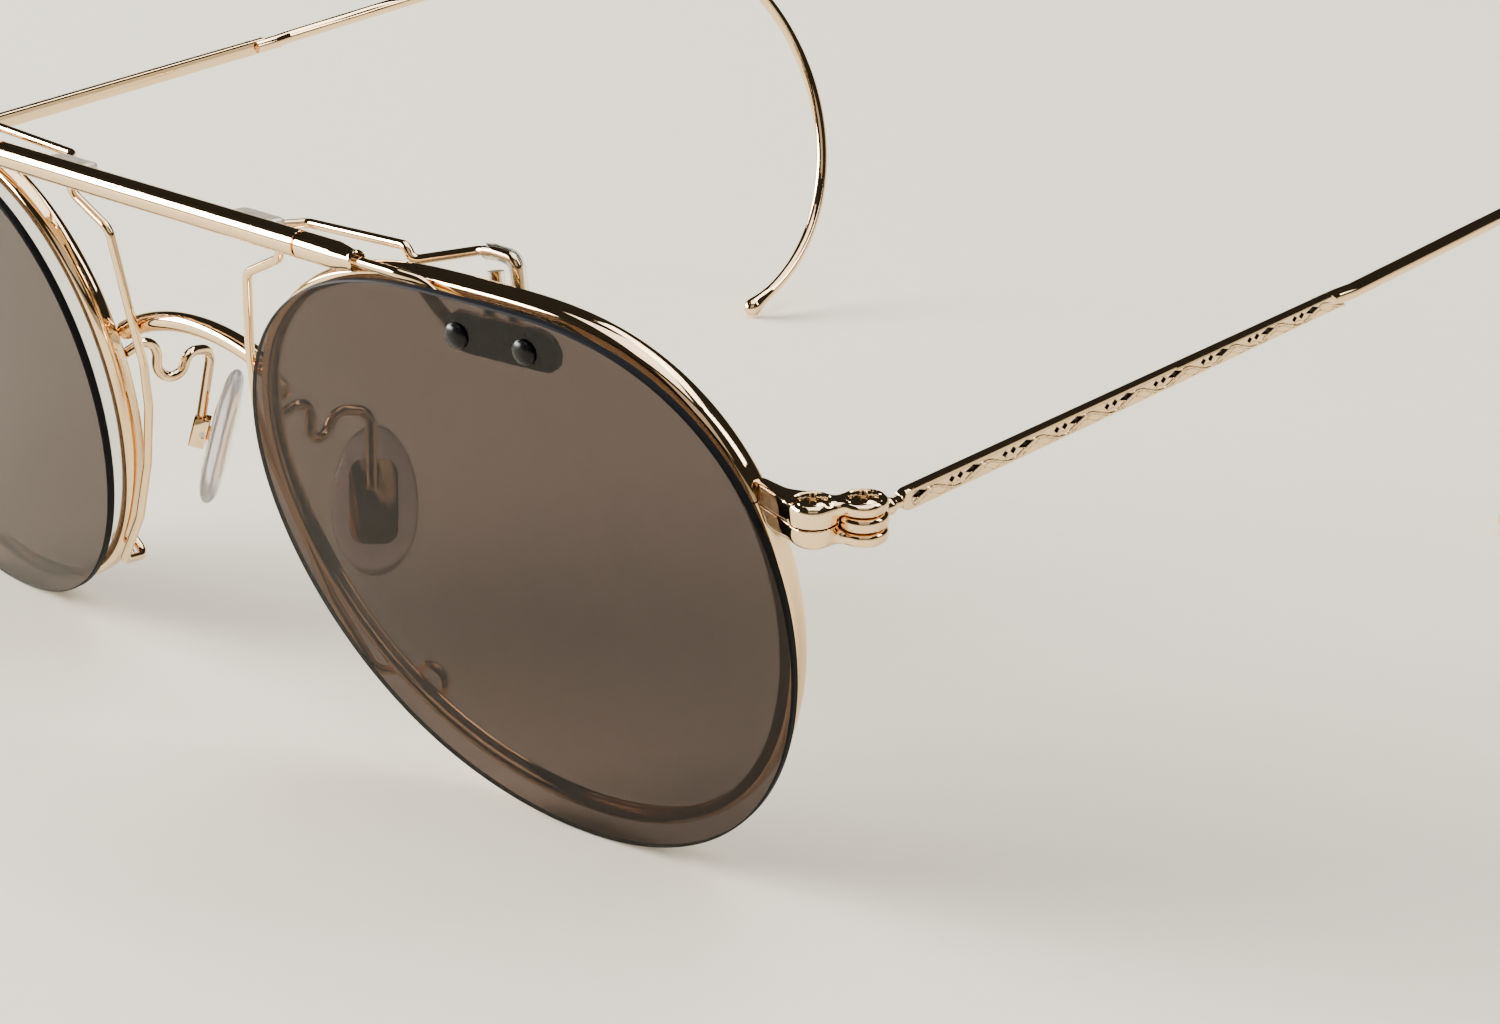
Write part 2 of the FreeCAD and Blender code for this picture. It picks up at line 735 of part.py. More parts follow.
def rivet_holes():
    holes = []
    for place in rivet_places():
        frame = shifted(lens_frame, place.x, -size("overrun"), place.z, along_y)
        holes.append(primitive("Cylinder", "rivet_hole", frame,
                               Radius="sizes.rivet_radius + sizes.rivet_play",
                               Height="sizes.lens_thickness + sizes.plate_thickness + 3 * sizes.overrun"))
    return holes


def make_sun_lens():
    curve = size("lens_curve")
    deepest = sag(2 * size("lens_radius"), 0) + size("lens_thickness")
    centre = y_axis * curve
    lens = outline_plate(0, 0, deepest).common(Part.makeSphere(curve, centre))
    lens = lens.cut(Part.makeSphere(curve - size("lens_thickness"), centre))
    blank = feature("lens_blank", lens, lens_frame)
    keep_pair("sun_lens", cut("sun_lens", blank, *rivet_holes()))


def make_lens_plate():
    half_height = size("plate_height") / 2
    left = size("plate_offset") - size("plate_length") / 2 + half_height
    low = plate_height_on_lens() - half_height
    place = shifted(lens_frame, left, plate_seat(), low)
    block = primitive("Box", "plate_block", place, Width="sizes.plate_thickness",
                      Length="sizes.plate_length - sizes.plate_height", Height="sizes.plate_height")
    ends = []
    for along in (0, size("plate_length") - size("plate_height")):
        frame = shifted(place, along, 0, half_height, along_y)
        ends.append(primitive("Cylinder", "plate_end", frame,
                              Radius="sizes.plate_height / 2", Height="sizes.plate_thickness"))
    keep_pair("lens_plate", cut("lens_plate", fuse("plate_body", block, *ends), *rivet_holes()))


# Cap of a sphere over a foot circle
def dome(name, foot, radius, height):
    ball = f"(sizes.{radius} ^ 2 + sizes.{height} ^ 2) / (2 * sizes.{height})"
    sunk = (size(radius) ** 2 - size(height) ** 2) / (2 * size(height))
    return primitive("Sphere", name, shifted(foot, z=-sunk), Radius=ball,
                     Angle1=f"asin(1 - sizes.{height} / ({ball}))")


def make_rivets():
    seat = plate_seat() + size("plate_thickness")
    rivets = []
    for place in rivet_places():
        front = sag(place.x, place.z - size("rivet_head_radius"))
        front_frame = shifted(lens_frame, place.x, front, place.z)
        head = dome("rivet_head", shifted(front_frame, turn=along_back),
                    "rivet_head_radius", "rivet_head_height")
        shank = feature("rivet_shank", Part.makeCylinder(size("rivet_radius"), seat - front),
                        shifted(front_frame, turn=along_y))
        tail = dome("rivet_tail", shifted(front_frame, y=seat - front, turn=along_y),
                    "rivet_tail_radius", "rivet_tail_height")
        rivets.append(fuse("rivet", head, shank, tail))
    group = doc.addObject("Part::Compound", "rivets")
    group.Links = rivets
    keep_pair("lens_rivets", group)


def make_lens_wire():
    radius = size("lens_wire_radius")
    start = barrel_middle + x_axis * (ferrule_start + size("shaft_grip"))
    lead = barrel_middle + x_axis * (ferrule_end + size("lens_wire_lead"))
    angle = size("lens_wire_angle")
    rest = size("lens_thickness") + sag(outline_radius(angle), 0) + radius + size("lens_wire_clear")
    edge = polar(lens_frame, angle, 0, rest)
    plate_end = size("plate_offset") - size("plate_length") / 2
    seat = plate_seat() + radius
    end = lens_frame.multVec(Vector(plate_end + radius / 2, seat, plate_height_on_lens()))
    path = bent_path([start, lead, edge, end], size("lens_wire_bend"))
    wire = feature("lens_wire_bar", round_bar(path, radius))
    half_height = size("plate_height") / 2
    cap_place = shifted(lens_frame, plate_end + half_height, plate_seat(), plate_height_on_lens(), along_y)
    cap = primitive("Cylinder", "plate_cap", cap_place,
                    Radius="sizes.plate_height / 2", Height="sizes.plate_thickness")
    keep_pair("lens_wire", cut("lens_wire", wire, cap))


# Lugs, clip wires, clear sleeves and nasal wires

def make_lug():
    corner = barrel_middle + Vector(lug_start, 0, size("lug_rise") - size("lug_height") / 2)
    block = primitive("Box", "lug_block", Placement(corner, Rotation()), Length="sizes.lug_length",
                      Width="sizes.lug_depth", Height="sizes.lug_height")
    doc.recompute()
    rounded = doc.addObject("Part::Fillet", "lug_round")
    rounded.Base = block
    edge_size = size("lug_edge")
    middle = corner.y + size("lug_depth") / 2
    back_edges = [n for n, edge in enumerate(block.Shape.Edges, start=1) if edge.CenterOfMass.y > middle]
    rounded.Edges = [(number, edge_size, edge_size) for number in back_edges]
    barrel = primitive("Cylinder", "barrel_room", shifted(barrel_frame, turn=along_x),
                       Radius="sizes.barrel_radius", Height="sizes.barrel_length / 2")
    keep_pair("clip_lug", cut("clip_lug", rounded, barrel))


def lug_block():
    block = Part.makeBox(size("lug_length"), size("lug_depth"), size("lug_height"))
    low = size("lug_rise") - size("lug_height") / 2
    return block.translated(barrel_middle + Vector(lug_start, 0, low))


def lug_end():
    lug_middle = (size("barrel_radius") + size("lug_depth")) / 2
    return barrel_middle + Vector(lug_start + size("lug_length"), lug_middle, size("lug_rise"))


def behind_rim(shares):
    points = []
    for angle, out, back in shares:
        behind = size("rim_depth") + back * size("clip_stand")
        points.append(by_rim(angle, out * size("loop_depth"), behind))
    return points


def make_clip_wire():
    points = [lug_end() - x_axis * size("overrun")] + behind_rim(clip_shares + loop_shares)
    wire = round_bar(bent_path(points, size("clip_bend")), size("clip_radius"))
    keep_pair("clip_wire", feature("clip_wire", largest(wire.cut(lug_block()))))


def make_clip_sleeve():
    points = behind_rim(loop_shares)
    points[0] = (points[0] + points[1]) / 2
    path = bent_path(points, size("clip_bend"))
    tube = round_bar(path, size("tube_radius")).cut(round_bar(path, size("clip_radius")))
    keep_pair("clip_sleeve", feature("clip_sleeve", tube))


def nasal_points():
    points = [lug_end() - x_axis * size("nasal_root")]
    for angle, out, back in nasal_shares:
        points.append(by_rim(angle, out * size("nasal_reach"), back * size("rim_depth")))
    for angle, back in nasal_edge_shares:
        points.append(by_rim(angle, size("nasal_edge"), back * size("rim_depth")))
    return points


def make_nasal_wire():
    radius = size("nasal_radius")
    behind = size("rim_depth") + radius + size("hook_clear")
    hook = []
    for angle, rise in zip(hook_angles, hook_shares):
        hook.append(by_rim(angle, rise * size("hook_height"), behind))
    upper = nasal_points()
    turn_point = hook[0]
    strand = bent_path(upper + [turn_point], size("nasal_bend"))
    wire = round_bar(strand, radius)
    wire = largest(wire.cut(lug_block()))
    end_run = (hook[1] - turn_point).normalize() * radius
    wire = wire.fuse(round_bar(bent_path([turn_point - end_run] + hook[1:], size("hook_bend")), radius))
    keep_pair("nasal_wire", feature("nasal_wire", wire.removeSplitter()))


make_rim()
make_eye_lens()
make_bridge()
make_end_pieces()
make_screw("lock_screw", lock_frame)
make_screw("hinge_screw", hinge_frame)
make_temple_bar()
make_temple_wire()
make_ear_tip()
make_pad_arm()
make_pad_box()
make_pad_pin()
make_pad_insert()
make_nose_pad()
make_barrel()
make_friction_sleeve()
make_shaft()
make_ferrule()
make_sun_lens()
make_lens_plate()
make_rivets()
make_lens_wire()
make_lug()
make_clip_wire()
make_clip_sleeve()
make_nasal_wire()
doc.recompute()

# The origin is below the middle of the whole depth
box = FreeCAD.BoundBox()
for item in nodes:
    box.add(item.Shape.optimalBoundingBox(False, False))
to_middle = Placement(Vector(0, -box.Center.y, 0), Rotation())
for item in nodes:
    if item.TypeId != "Part::Mirroring":
        item.Placement = to_middle.multiply(item.Placement)
doc.recompute()

for item in doc.Objects:
    if "Invalid" in item.State or "Error" in item.State:
        raise ValueError(f"{item.Label} failed: {item.State}")
for item in nodes:
    if item.Shape.isNull() or not item.Shape.isValid():
        raise ValueError(f"{item.Label} has no valid shape")

os.makedirs("parts", exist_ok=True)
for item in nodes:
    item.Shape.exportStep(os.path.join("parts", item.Label + ".step"))

print("nodes", len(nodes), "size", box.XLength, box.YLength, box.ZLength, "lowest", box.ZMin)
print("curl radius", curl_radius(), "shift", -box.Center.y)
for name, frame in (("hinge", hinge_frame), ("barrel", barrel_frame), ("pad", pad_frame)):
    placed = to_middle.multiply(frame)
    print(name, placed.Base, "x", placed.Rotation.multVec(x_axis), "z", placed.Rotation.multVec(z_axis))
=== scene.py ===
import math

import bmesh
import bpy
import numpy as np
from mathutils import Matrix, Vector


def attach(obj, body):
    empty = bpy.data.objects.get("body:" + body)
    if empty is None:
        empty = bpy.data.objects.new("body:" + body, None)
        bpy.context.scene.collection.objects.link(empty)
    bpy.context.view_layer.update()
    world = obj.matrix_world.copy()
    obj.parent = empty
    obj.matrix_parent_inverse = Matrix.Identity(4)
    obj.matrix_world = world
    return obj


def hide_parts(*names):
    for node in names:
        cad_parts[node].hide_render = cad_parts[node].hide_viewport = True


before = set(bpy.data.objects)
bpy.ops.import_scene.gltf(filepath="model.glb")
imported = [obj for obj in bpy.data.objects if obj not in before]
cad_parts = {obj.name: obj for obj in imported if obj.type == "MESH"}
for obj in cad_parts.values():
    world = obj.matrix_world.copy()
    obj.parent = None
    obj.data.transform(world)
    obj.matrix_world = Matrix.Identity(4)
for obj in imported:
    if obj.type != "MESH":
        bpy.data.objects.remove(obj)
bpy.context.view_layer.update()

# Flip up sunglasses in gold plated wire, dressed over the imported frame. Sizes are millimetres until
# a mesh is made, which is in metres. The wearer's left is +X, the ears are at +Y, up is +Z.
mm = 0.001
up = Vector((0, 0, 1))
leftward = Vector((1, 0, 0))
rearward = Vector((0, 1, 0))
sides = ("left", "right")

# Lens outline, waves about the mean radius as (order, cosine share, sine share), and how the lenses stand
outline = {"radius": 23.8, "waves": ((2, 0.070, -0.025), (3, -0.008, 0.034), (4, -0.015, -0.002))}
stance = {"spacing": 72.4, "wrap": 5.9, "tilt": 12.4, "back": -60.411218, "lensCurve": 1000.0,
          "footSteps": 48, "rimInset": 0.9, "rimSetBack": 2.0, "rimLift": 0.35, "rimUnder": 0.3}


def clamp(value):
    return min(1.0, max(0.0, value))


def frameAt(spot, *turns):
    place = Matrix.Translation(spot)
    for axis, angle in turns:
        place = place @ Matrix.Rotation(math.radians(angle), 4, axis)
    return place


def outlineRadius(angle):
    turn = math.radians(angle)
    waves = sum(c * math.cos(n * turn) + s * math.sin(n * turn) for n, c, s in outline["waves"])
    return outline["radius"] * (1 + waves)


def outlineSpot(angle, offset):
    turn = math.radians(angle)
    slope = sum(n * (s * math.cos(n * turn) - c * math.sin(n * turn)) for n, c, s in outline["waves"])
    radial = Vector((math.cos(turn), 0, math.sin(turn)))
    tangent = Vector((-math.sin(turn), 0, math.cos(turn)))
    normal = radial * outlineRadius(angle) - tangent * slope * outline["radius"]
    return radial * outlineRadius(angle) + normal.normalized() * offset


def sag(x, z):
    return (x * x + z * z) / (2 * stance["lensCurve"])


# The lens middle's height when its lowest edge stands on the floor
def lensHeight():
    tilt = math.radians(stance["tilt"])
    spots = [outlineSpot(360 * i / stance["footSteps"], 0) for i in range(stance["footSteps"])]
    return -min(p.z * math.cos(tilt) + sag(p.x, p.z) * math.sin(tilt) for p in spots)


lensFrame = frameAt((stance["spacing"] / 2, stance["back"], lensHeight()),
                    ("Z", stance["wrap"]), ("X", stance["tilt"]))
rimFrame = lensFrame @ Matrix.Translation((-stance["rimInset"], stance["rimSetBack"], stance["rimLift"]))


def polar(place, angle, out, back):
    turn = math.radians(angle)
    reach = outlineRadius(angle) + out
    return place @ Vector((reach * math.cos(turn), back, reach * math.sin(turn)))


def byRim(angle, out, back):
    return polar(rimFrame, angle, out - stance["rimUnder"], back)


# Places by the rim as angle, out and back, with the hinge's lean and the lock's shift from the hinge
places = {"hinge": (15.7, 6.4, 2.6), "hingeLean": (("X", 4.9), ("Y", 3.0)), "lock": (-2.2, -2.5, 0.0),
          "barrel": (128.4, 2.4, 0.1)}
hingeFrame = frameAt(byRim(*places["hinge"]), *places["hingeLean"])
lockFrame = hingeFrame @ Matrix.Translation(places["lock"])
barrelMiddle = byRim(*places["barrel"])
barrelMiddle.x = 0
print("frames placed, lens middle at height", round(lensHeight(), 3))


# Node and material helpers

def hexColour(code):
    parts = [int(code[i:i + 2], 16) / 255 for i in (1, 3, 5)]
    return [p / 12.92 if p <= 0.04045 else ((p + 0.055) / 1.055) ** 2.4 for p in parts] + [1.0]


def addNode(tree, kind, feeds=None, **settings):
    node = tree.nodes.new(kind)
    for name, value in settings.items():
        setattr(node, name, value)
    for socket, value in (feeds or {}).items():
        if isinstance(value, bpy.types.NodeSocket):
            tree.links.new(value, node.inputs[socket])
        else:
            node.inputs[socket].default_value = value
    return node


def newFinish(name):
    finish = bpy.data.materials.new(name)
    finish.use_nodes = True
    finish.node_tree.nodes.clear()
    return finish, finish.node_tree, addNode(finish.node_tree, "ShaderNodeTexCoord").outputs["Object"]


# Noise of a size in millimetres, and a tone that drifts with it between two colours
def toneDrift(tree, spot, size, pale, deep, detail):
    noise = addNode(tree, "ShaderNodeTexNoise", {"Vector": spot, "Scale": 1 / mm / size, "Detail": detail})
    tone = addNode(tree, "ShaderNodeMix", {0: noise.outputs["Fac"], 6: hexColour(pale), 7: hexColour(deep)},
                   data_type="RGBA")
    return noise.outputs["Fac"], tone.outputs[2]


# The shader, its gloss following a pattern over the span of values that matter
def closeFinish(tree, feeds, pattern=None, span=(0.0, 1.0), gloss=(0.0, 1.0)):
    if pattern is not None:
        shine = addNode(tree, "ShaderNodeMapRange",
                        {"Value": pattern, "From Min": span[0], "From Max": span[1], "To Min": gloss[0],
                         "To Max": gloss[1]})
        feeds["Roughness"] = shine.outputs[0]
    shader = addNode(tree, "ShaderNodeBsdfPrincipled", feeds)
    addNode(tree, "ShaderNodeOutputMaterial", {"Surface": shader.outputs["BSDF"]})


# Gold plate on nickel silver, tumbled and buffed: a mirror with a faint haze and slow drift of tone.
# The haze is drawn coarser than buffing leaves it, so that it shows. The engraved one adds painted shade,
# a dark colour in its cuts and border grooves, held by the piece's own attribute.
# The engraved finish's dark colour is painted shade for its cuts
goldLook = {"pale": "#F4D6AD", "warm": "#ECC694", "paintedShade": "#1E1812", "driftSize": 7.0, "driftDetail": 2.0,
            "hazeSize": 0.45, "hazeDetail": 4.0, "hazeSpan": (0.35, 0.65), "gloss": (0.025, 0.07),
            "engravedGloss": (0.14, 0.24), "ripple": 0.05, "rippleHeight": 0.01}


def goldPlate(name, engraved=False):
    finish, tree, spot = newFinish(name)
    look = goldLook
    tone = toneDrift(tree, spot, look["driftSize"], look["pale"], look["warm"], look["driftDetail"])[1]
    haze = addNode(tree, "ShaderNodeTexNoise", {"Vector": spot, "Scale": 1 / mm / look["hazeSize"],
                                                "Detail": look["hazeDetail"]}).outputs["Fac"]
    # Painted shade in the cuts: the attribute mixes the dark colour into the tone
    if engraved:
        cuts = addNode(tree, "ShaderNodeAttribute", attribute_name="paintedShade").outputs["Fac"]
        tone = addNode(tree, "ShaderNodeMix", {0: cuts, 6: tone, 7: hexColour(look["paintedShade"])},
                       data_type="RGBA").outputs[2]
    ripple = addNode(tree, "ShaderNodeBump", {"Height": haze, "Strength": look["ripple"],
                                              "Distance": look["rippleHeight"] * mm})
    closeFinish(tree, {"Base Color": tone, "Metallic": 1.0, "Normal": ripple.outputs["Normal"]}, haze,
                look["hazeSpan"], look["engravedGloss"] if engraved else look["gloss"])
    return finish


# Brown tinted sun lens of cast resin: clear to look through, dyed a little unevenly. Its low index stands
# for the coating that takes most of the reflection away.
sunLook = {"tint": "#554842", "deep": "#504544", "driftSize": 40.0, "driftDetail": 2.0, "dustSize": 1.6,
           "dustDetail": 3.0, "dustSpan": (0.55, 0.75), "gloss": (0.0, 0.004), "ior": 1.23}


def sunTint():
    finish, tree, spot = newFinish("brownTintedResin")
    look = sunLook
    tone = toneDrift(tree, spot, look["driftSize"], look["tint"], look["deep"], look["driftDetail"])[1]
    dust = addNode(tree, "ShaderNodeTexNoise", {"Vector": spot, "Scale": 1 / mm / look["dustSize"],
                                                "Detail": look["dustDetail"]}).outputs["Fac"]
    closeFinish(tree, {"Base Color": tone, "IOR": look["ior"], "Transmission Weight": 1.0}, dust,
                look["dustSpan"], look["gloss"])
    return finish


# Ground and polished edge of the tinted lens: the dye seen through its width is nearly black. Its grinding
# marks are drawn coarse enough to show.
edgeLook = {"pale": "#0B0C0F", "deep": "#17181C", "grindSize": 0.3, "grindDetail": 3.0, "gloss": (0.45, 0.65),
            "ior": 1.5, "shine": 0.05}


def sunEdge():
    finish, tree, spot = newFinish("brownResinPolishedEdge")
    look = edgeLook
    grind, tone = toneDrift(tree, spot, look["grindSize"], look["pale"], look["deep"], look["grindDetail"])
    closeFinish(tree, {"Base Color": tone, "IOR": look["ior"], "Specular IOR Level": look["shine"]}, grind,
                gloss=look["gloss"])
    return finish


# Finishes that let light through: their tone drifts, and they may have a glossy skin and some milk
clearLook = {"detail": 3.0, "span": (0.3, 0.7), "skinGloss": 0.12, "milkTone": (1.0, 1.0, 1.1),
             "milkReach": 1.6}


def clearFinish(name, pale, deep, driftSize, gloss, ior, passes, skin=0.0, milk=0.0):
    finish, tree, spot = newFinish(name)
    look = clearLook
    drift, tone = toneDrift(tree, spot, driftSize, pale, deep, look["detail"])
    closeFinish(tree, {"Base Color": tone, "IOR": ior, "Transmission Weight": passes, "Coat Weight": skin,
                       "Coat Roughness": look["skinGloss"], "Subsurface Weight": milk,
                       "Subsurface Radius": look["milkTone"], "Subsurface Scale": look["milkReach"] * mm},
                drift, look["span"], gloss)
    return finish


# Metal or lacquer with fine marks, as a file, a drawing die or a spray leaves. They are drawn coarser than
# real ones, so that they show.
linedLook = {"detail": 4.0, "span": (0.3, 0.7), "relief": 0.1, "reliefHeight": 0.02}


def linedFinish(name, pale, deep, lineSize, lineStretch, gloss, metal, shine=0.5):
    finish, tree, spot = newFinish(name)
    look = linedLook
    drawn = addNode(tree, "ShaderNodeMapping", {"Vector": spot, "Scale": lineStretch}).outputs["Vector"]
    lines, tone = toneDrift(tree, drawn, lineSize, pale, deep, look["detail"])
    relief = addNode(tree, "ShaderNodeBump", {"Height": lines, "Strength": look["relief"],
                                              "Distance": look["reliefHeight"] * mm})
    closeFinish(tree, {"Base Color": tone, "Metallic": metal, "Normal": relief.outputs["Normal"],
                       "Specular IOR Level": shine}, lines, look["span"], gloss)
    return finish


even, drawnAlong, filedAlong = (1.0, 1.0, 1.0), (0.2, 1.0, 1.0), (0.25, 1.0, 1.0)  # stretch of the lines
gold = goldPlate("goldPlateBuffed")
engravedGold = goldPlate("goldPlateEngraved", engraved=True)
brownResin = sunTint()
brownEdge = sunEdge()
# Uncoated clear lens, cast resin: barely a tint, sharp reflections
clearResin = clearFinish("clearCastResin", "#F8FAF9", "#F3F6F4", 30.0, (0.0, 0.01), 1.5, 1.0)
# Moulded silicone nose pad: clear with a trace of milk, a soft gloss, metal shows through it
padSilicone = clearFinish("clearSilicone", "#FFFDFF", "#F4EFFC", 2.5, (0.06, 0.2), 1.41, 0.78, 0.3, 0.6)
# Extruded vinyl sleeve: glassy with a slight haze
clearVinyl = clearFinish("clearExtrudedVinyl", "#F7F5F1", "#EFECE6", 1.2, (0.03, 0.1), 1.46, 1.0)
# Filed nickel silver lug: satin grey with lines along it
nickelSilver = linedFinish("nickelSilverSatin", "#E6DCCD", "#D8CCBB", 0.25, filedAlong, (0.42, 0.58), 1.0)
# Drawn spring steel of the shaft, its sleeve and the pad pins: grey with fine lines along it
springSteel = linedFinish("springSteelDrawn", "#B9B6B1", "#9D9A96", 0.2, drawnAlong, (0.18, 0.32), 1.0)
# Black lacquer on the lens plates: smooth, with a trace of orange peel
blackLacquer = linedFinish("blackLacquerPlate", "#0D0D0F", "#121214", 0.35, even, (0.22, 0.34), 0.0)
# Black oxide on the rivet heads: darker, with a small sharp highlight from tumbling
blackOxide = linedFinish("blackOxideTumbled", "#060607", "#0D0D0F", 0.4, even, (0.22, 0.32), 0.0, 0.16)
print("finishes made:", len(bpy.data.materials))


# Mesh helpers

def meshPiece(name, verts, faces, finishes, picks=None, mirrored=False, sharp=35.0):
    side = -1 if mirrored else 1
    spots = [(side * v[0] * mm, v[1] * mm, v[2] * mm) for v in verts]
    mesh = bpy.data.meshes.new(name)
    mesh.from_pydata(spots, [], [tuple(reversed(f)) if mirrored else tuple(f) for f in faces])
    for finish in finishes:
        mesh.materials.append(finish)
    if picks is not None:
        mesh.polygons.foreach_set("material_index", np.array(picks, np.int32))
    return placePiece(name, mesh, sharp)


def placePiece(name, mesh, sharp):
    shell = bmesh.new()
    shell.from_mesh(mesh)
    bmesh.ops.recalc_face_normals(shell, faces=shell.faces)
    shell.to_mesh(mesh)
    shell.free()
    mesh.polygons.foreach_set("use_smooth", np.full(len(mesh.polygons), True))
    mesh.set_sharp_from_angle(angle=math.radians(sharp))
    mesh.update()
    piece = bpy.data.objects.new(name, mesh)
    bpy.context.scene.collection.objects.link(piece)
    return piece


def dress(piece, body, slot, *nodes):
    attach(piece, body)
    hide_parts(*nodes)
    return piece


def addPair(name, verts, faces, finishes, node, body, slot, picks=None, sharp=35.0, attribute=None):
    for side in sides:
        piece = meshPiece(name + side.capitalize(), verts, faces, finishes, picks, side == "right", sharp)
        if attribute:
            cuts = piece.data.attributes.new(attribute[0], "FLOAT", "POINT")
            cuts.data.foreach_set("value", np.array(attribute[1], np.float32))
        dress(piece, body.replace("SIDE", side), slot, node + "_" + side)


# Loops of equal length joined by quads, closed round each loop, with flat ends or as a ring
def joinLoops(loops, ring=False):
    count = len(loops[0])
    verts = [p for loop in loops for p in loop]
    faces = []
    for i in range(len(loops) if ring else len(loops) - 1):
        a, b = i * count, (i + 1) % len(loops) * count
        for j in range(count):
            k = (j + 1) % count
            faces.append((a + j, a + k, b + k, b + j))
    if not ring:
        faces.append(tuple(range(count - 1, -1, -1)))
        faces.append(tuple((len(loops) - 1) * count + j for j in range(count)))
    return verts, faces


# Turned piece: (along, radius) profile round an axis
def turned(profile, start, axis, steps, ring=False):
    axis = axis.normalized()
    side = axis.orthogonal().normalized()
    other = axis.cross(side)
    turns = [2 * math.pi * k / steps for k in range(steps)]
    spokes = [side * math.cos(t) + other * math.sin(t) for t in turns]
    loops = [[start + axis * along + spoke * radius for spoke in spokes] for along, radius in profile]
    return joinLoops(loops, ring)


# Several closed shells in one mesh
def gather(*shells):
    verts, faces = [], []
    for shellVerts, shellFaces in shells:
        base = len(verts)
        verts += list(shellVerts)
        faces += [tuple(base + i for i in face) for face in shellFaces]
    return verts, faces


# The evaluated mesh of a helper object, which is then removed
def bakedMesh(helper):
    bpy.context.view_layer.update()
    graph = bpy.context.evaluated_depsgraph_get()
    mesh = bpy.data.meshes.new_from_object(helper.evaluated_get(graph), preserve_all_data_layers=True,
                                           depsgraph=graph)
    bpy.data.objects.remove(helper)
    return mesh


# How a copied CAD shape is cleaned (merge in metres, the rest in degrees), and how far a spot moves
# towards its neighbours in one pass of tumbling
mend = {"merge": 2e-6, "flat": 0.6, "easeAngle": 32.0, "easeSharp": 40.0, "castSharp": 180.0, "pace": 0.5}


# A helper with a CAD shape's triangles merged, sized in millimetres
def cadCopy(node, name, finish):
    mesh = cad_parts[node].data.copy()
    shell = bmesh.new()
    shell.from_mesh(mesh)
    bmesh.ops.remove_doubles(shell, verts=shell.verts, dist=mend["merge"])
    bmesh.ops.dissolve_limit(shell, angle_limit=math.radians(mend["flat"]), verts=shell.verts,
                             edges=shell.edges)
    shell.to_mesh(mesh)
    shell.free()
    mesh.transform(Matrix.Scale(1 / mm, 4))
    if "custom_normal" in mesh.attributes:
        mesh.attributes.remove(mesh.attributes["custom_normal"])
    mesh.materials.clear()
    mesh.materials.append(finish)
    mesh.polygons.foreach_set("material_index", np.zeros(len(mesh.polygons), np.int32))
    rough = bpy.data.objects.new(name + "Rough", mesh)
    bpy.context.scene.collection.objects.link(rough)
    return rough


# CAD shape with its edges eased
def easedCopy(node, name, look, finish, body, slot):
    rough = cadCopy(node, name, finish)
    edge = rough.modifiers.new("ease", "BEVEL")
    edge.width = look["ease"]
    edge.segments = look["easeSteps"]
    edge.limit_method = "ANGLE"
    edge.angle_limit = math.radians(mend["easeAngle"])
    mesh = bakedMesh(rough)
    mesh.transform(Matrix.Scale(mm, 4))
    dress(placePiece(name, mesh, mend["easeSharp"]), body, slot, node)


# CAD shape with its edges and inner corners rounded, as a casting is after tumbling. The wear of a spot
# is 0 where it stays as cut and 1 where it wears freely, and trim moves a spot first.
def castCopy(node, name, look, finish, body, slot, wear=None, trim=None):
    rough = cadCopy(node, name, finish)
    skin = rough.modifiers.new("skin", "REMESH")
    skin.mode = "VOXEL"
    skin.voxel_size = look["grain"]
    mesh = bakedMesh(rough)
    spots = np.empty(len(mesh.vertices) * 3)
    mesh.vertices.foreach_get("co", spots)
    spots = spots.reshape(-1, 3)
    if trim:
        spots = np.array([trim(Vector(p)) for p in spots])
    ends = np.empty(len(mesh.edges) * 2, np.int64)
    mesh.edges.foreach_get("vertices", ends)
    a, b = ends.reshape(-1, 2).T
    count = np.bincount(a, minlength=len(spots)) + np.bincount(b, minlength=len(spots))
    share = np.array([wear(Vector(p)) for p in spots]) if wear else np.ones(len(spots))
    for _ in range(look["tumbling"]):
        for axis in range(3):
            line = spots[:, axis]
            near = np.bincount(a, line[b], len(spots)) + np.bincount(b, line[a], len(spots))
            spots[:, axis] += mend["pace"] * share * (near / count - line)
    mesh.vertices.foreach_set("co", spots.ravel())
    mesh.transform(Matrix.Scale(mm, 4))
    dress(placePiece(name, mesh, mend["castSharp"]), body, slot, node)


# Geometry Nodes: wire bent along a path, and fasteners set on points

def newTree(name, inputs):
    tree = bpy.data.node_groups.new(name, "GeometryNodeTree")
    tree.interface.new_socket("Path", in_out="INPUT", socket_type="NodeSocketGeometry")
    for label, kind in inputs:
        tree.interface.new_socket(label, in_out="INPUT", socket_type="NodeSocket" + kind)
    tree.interface.new_socket("Piece", in_out="OUTPUT", socket_type="NodeSocketGeometry")
    return tree, addNode(tree, "NodeGroupInput").outputs


def closeTree(tree, shape, finish):
    smooth = addNode(tree, "GeometryNodeSetShadeSmooth", {"Geometry": shape})
    solid = addNode(tree, "GeometryNodeRealizeInstances", {"Geometry": smooth.outputs[0]})
    painted = addNode(tree, "GeometryNodeSetMaterial", {"Geometry": solid.outputs[0], "Material": finish})
    addNode(tree, "NodeGroupOutput", {"Piece": painted.outputs[0]})


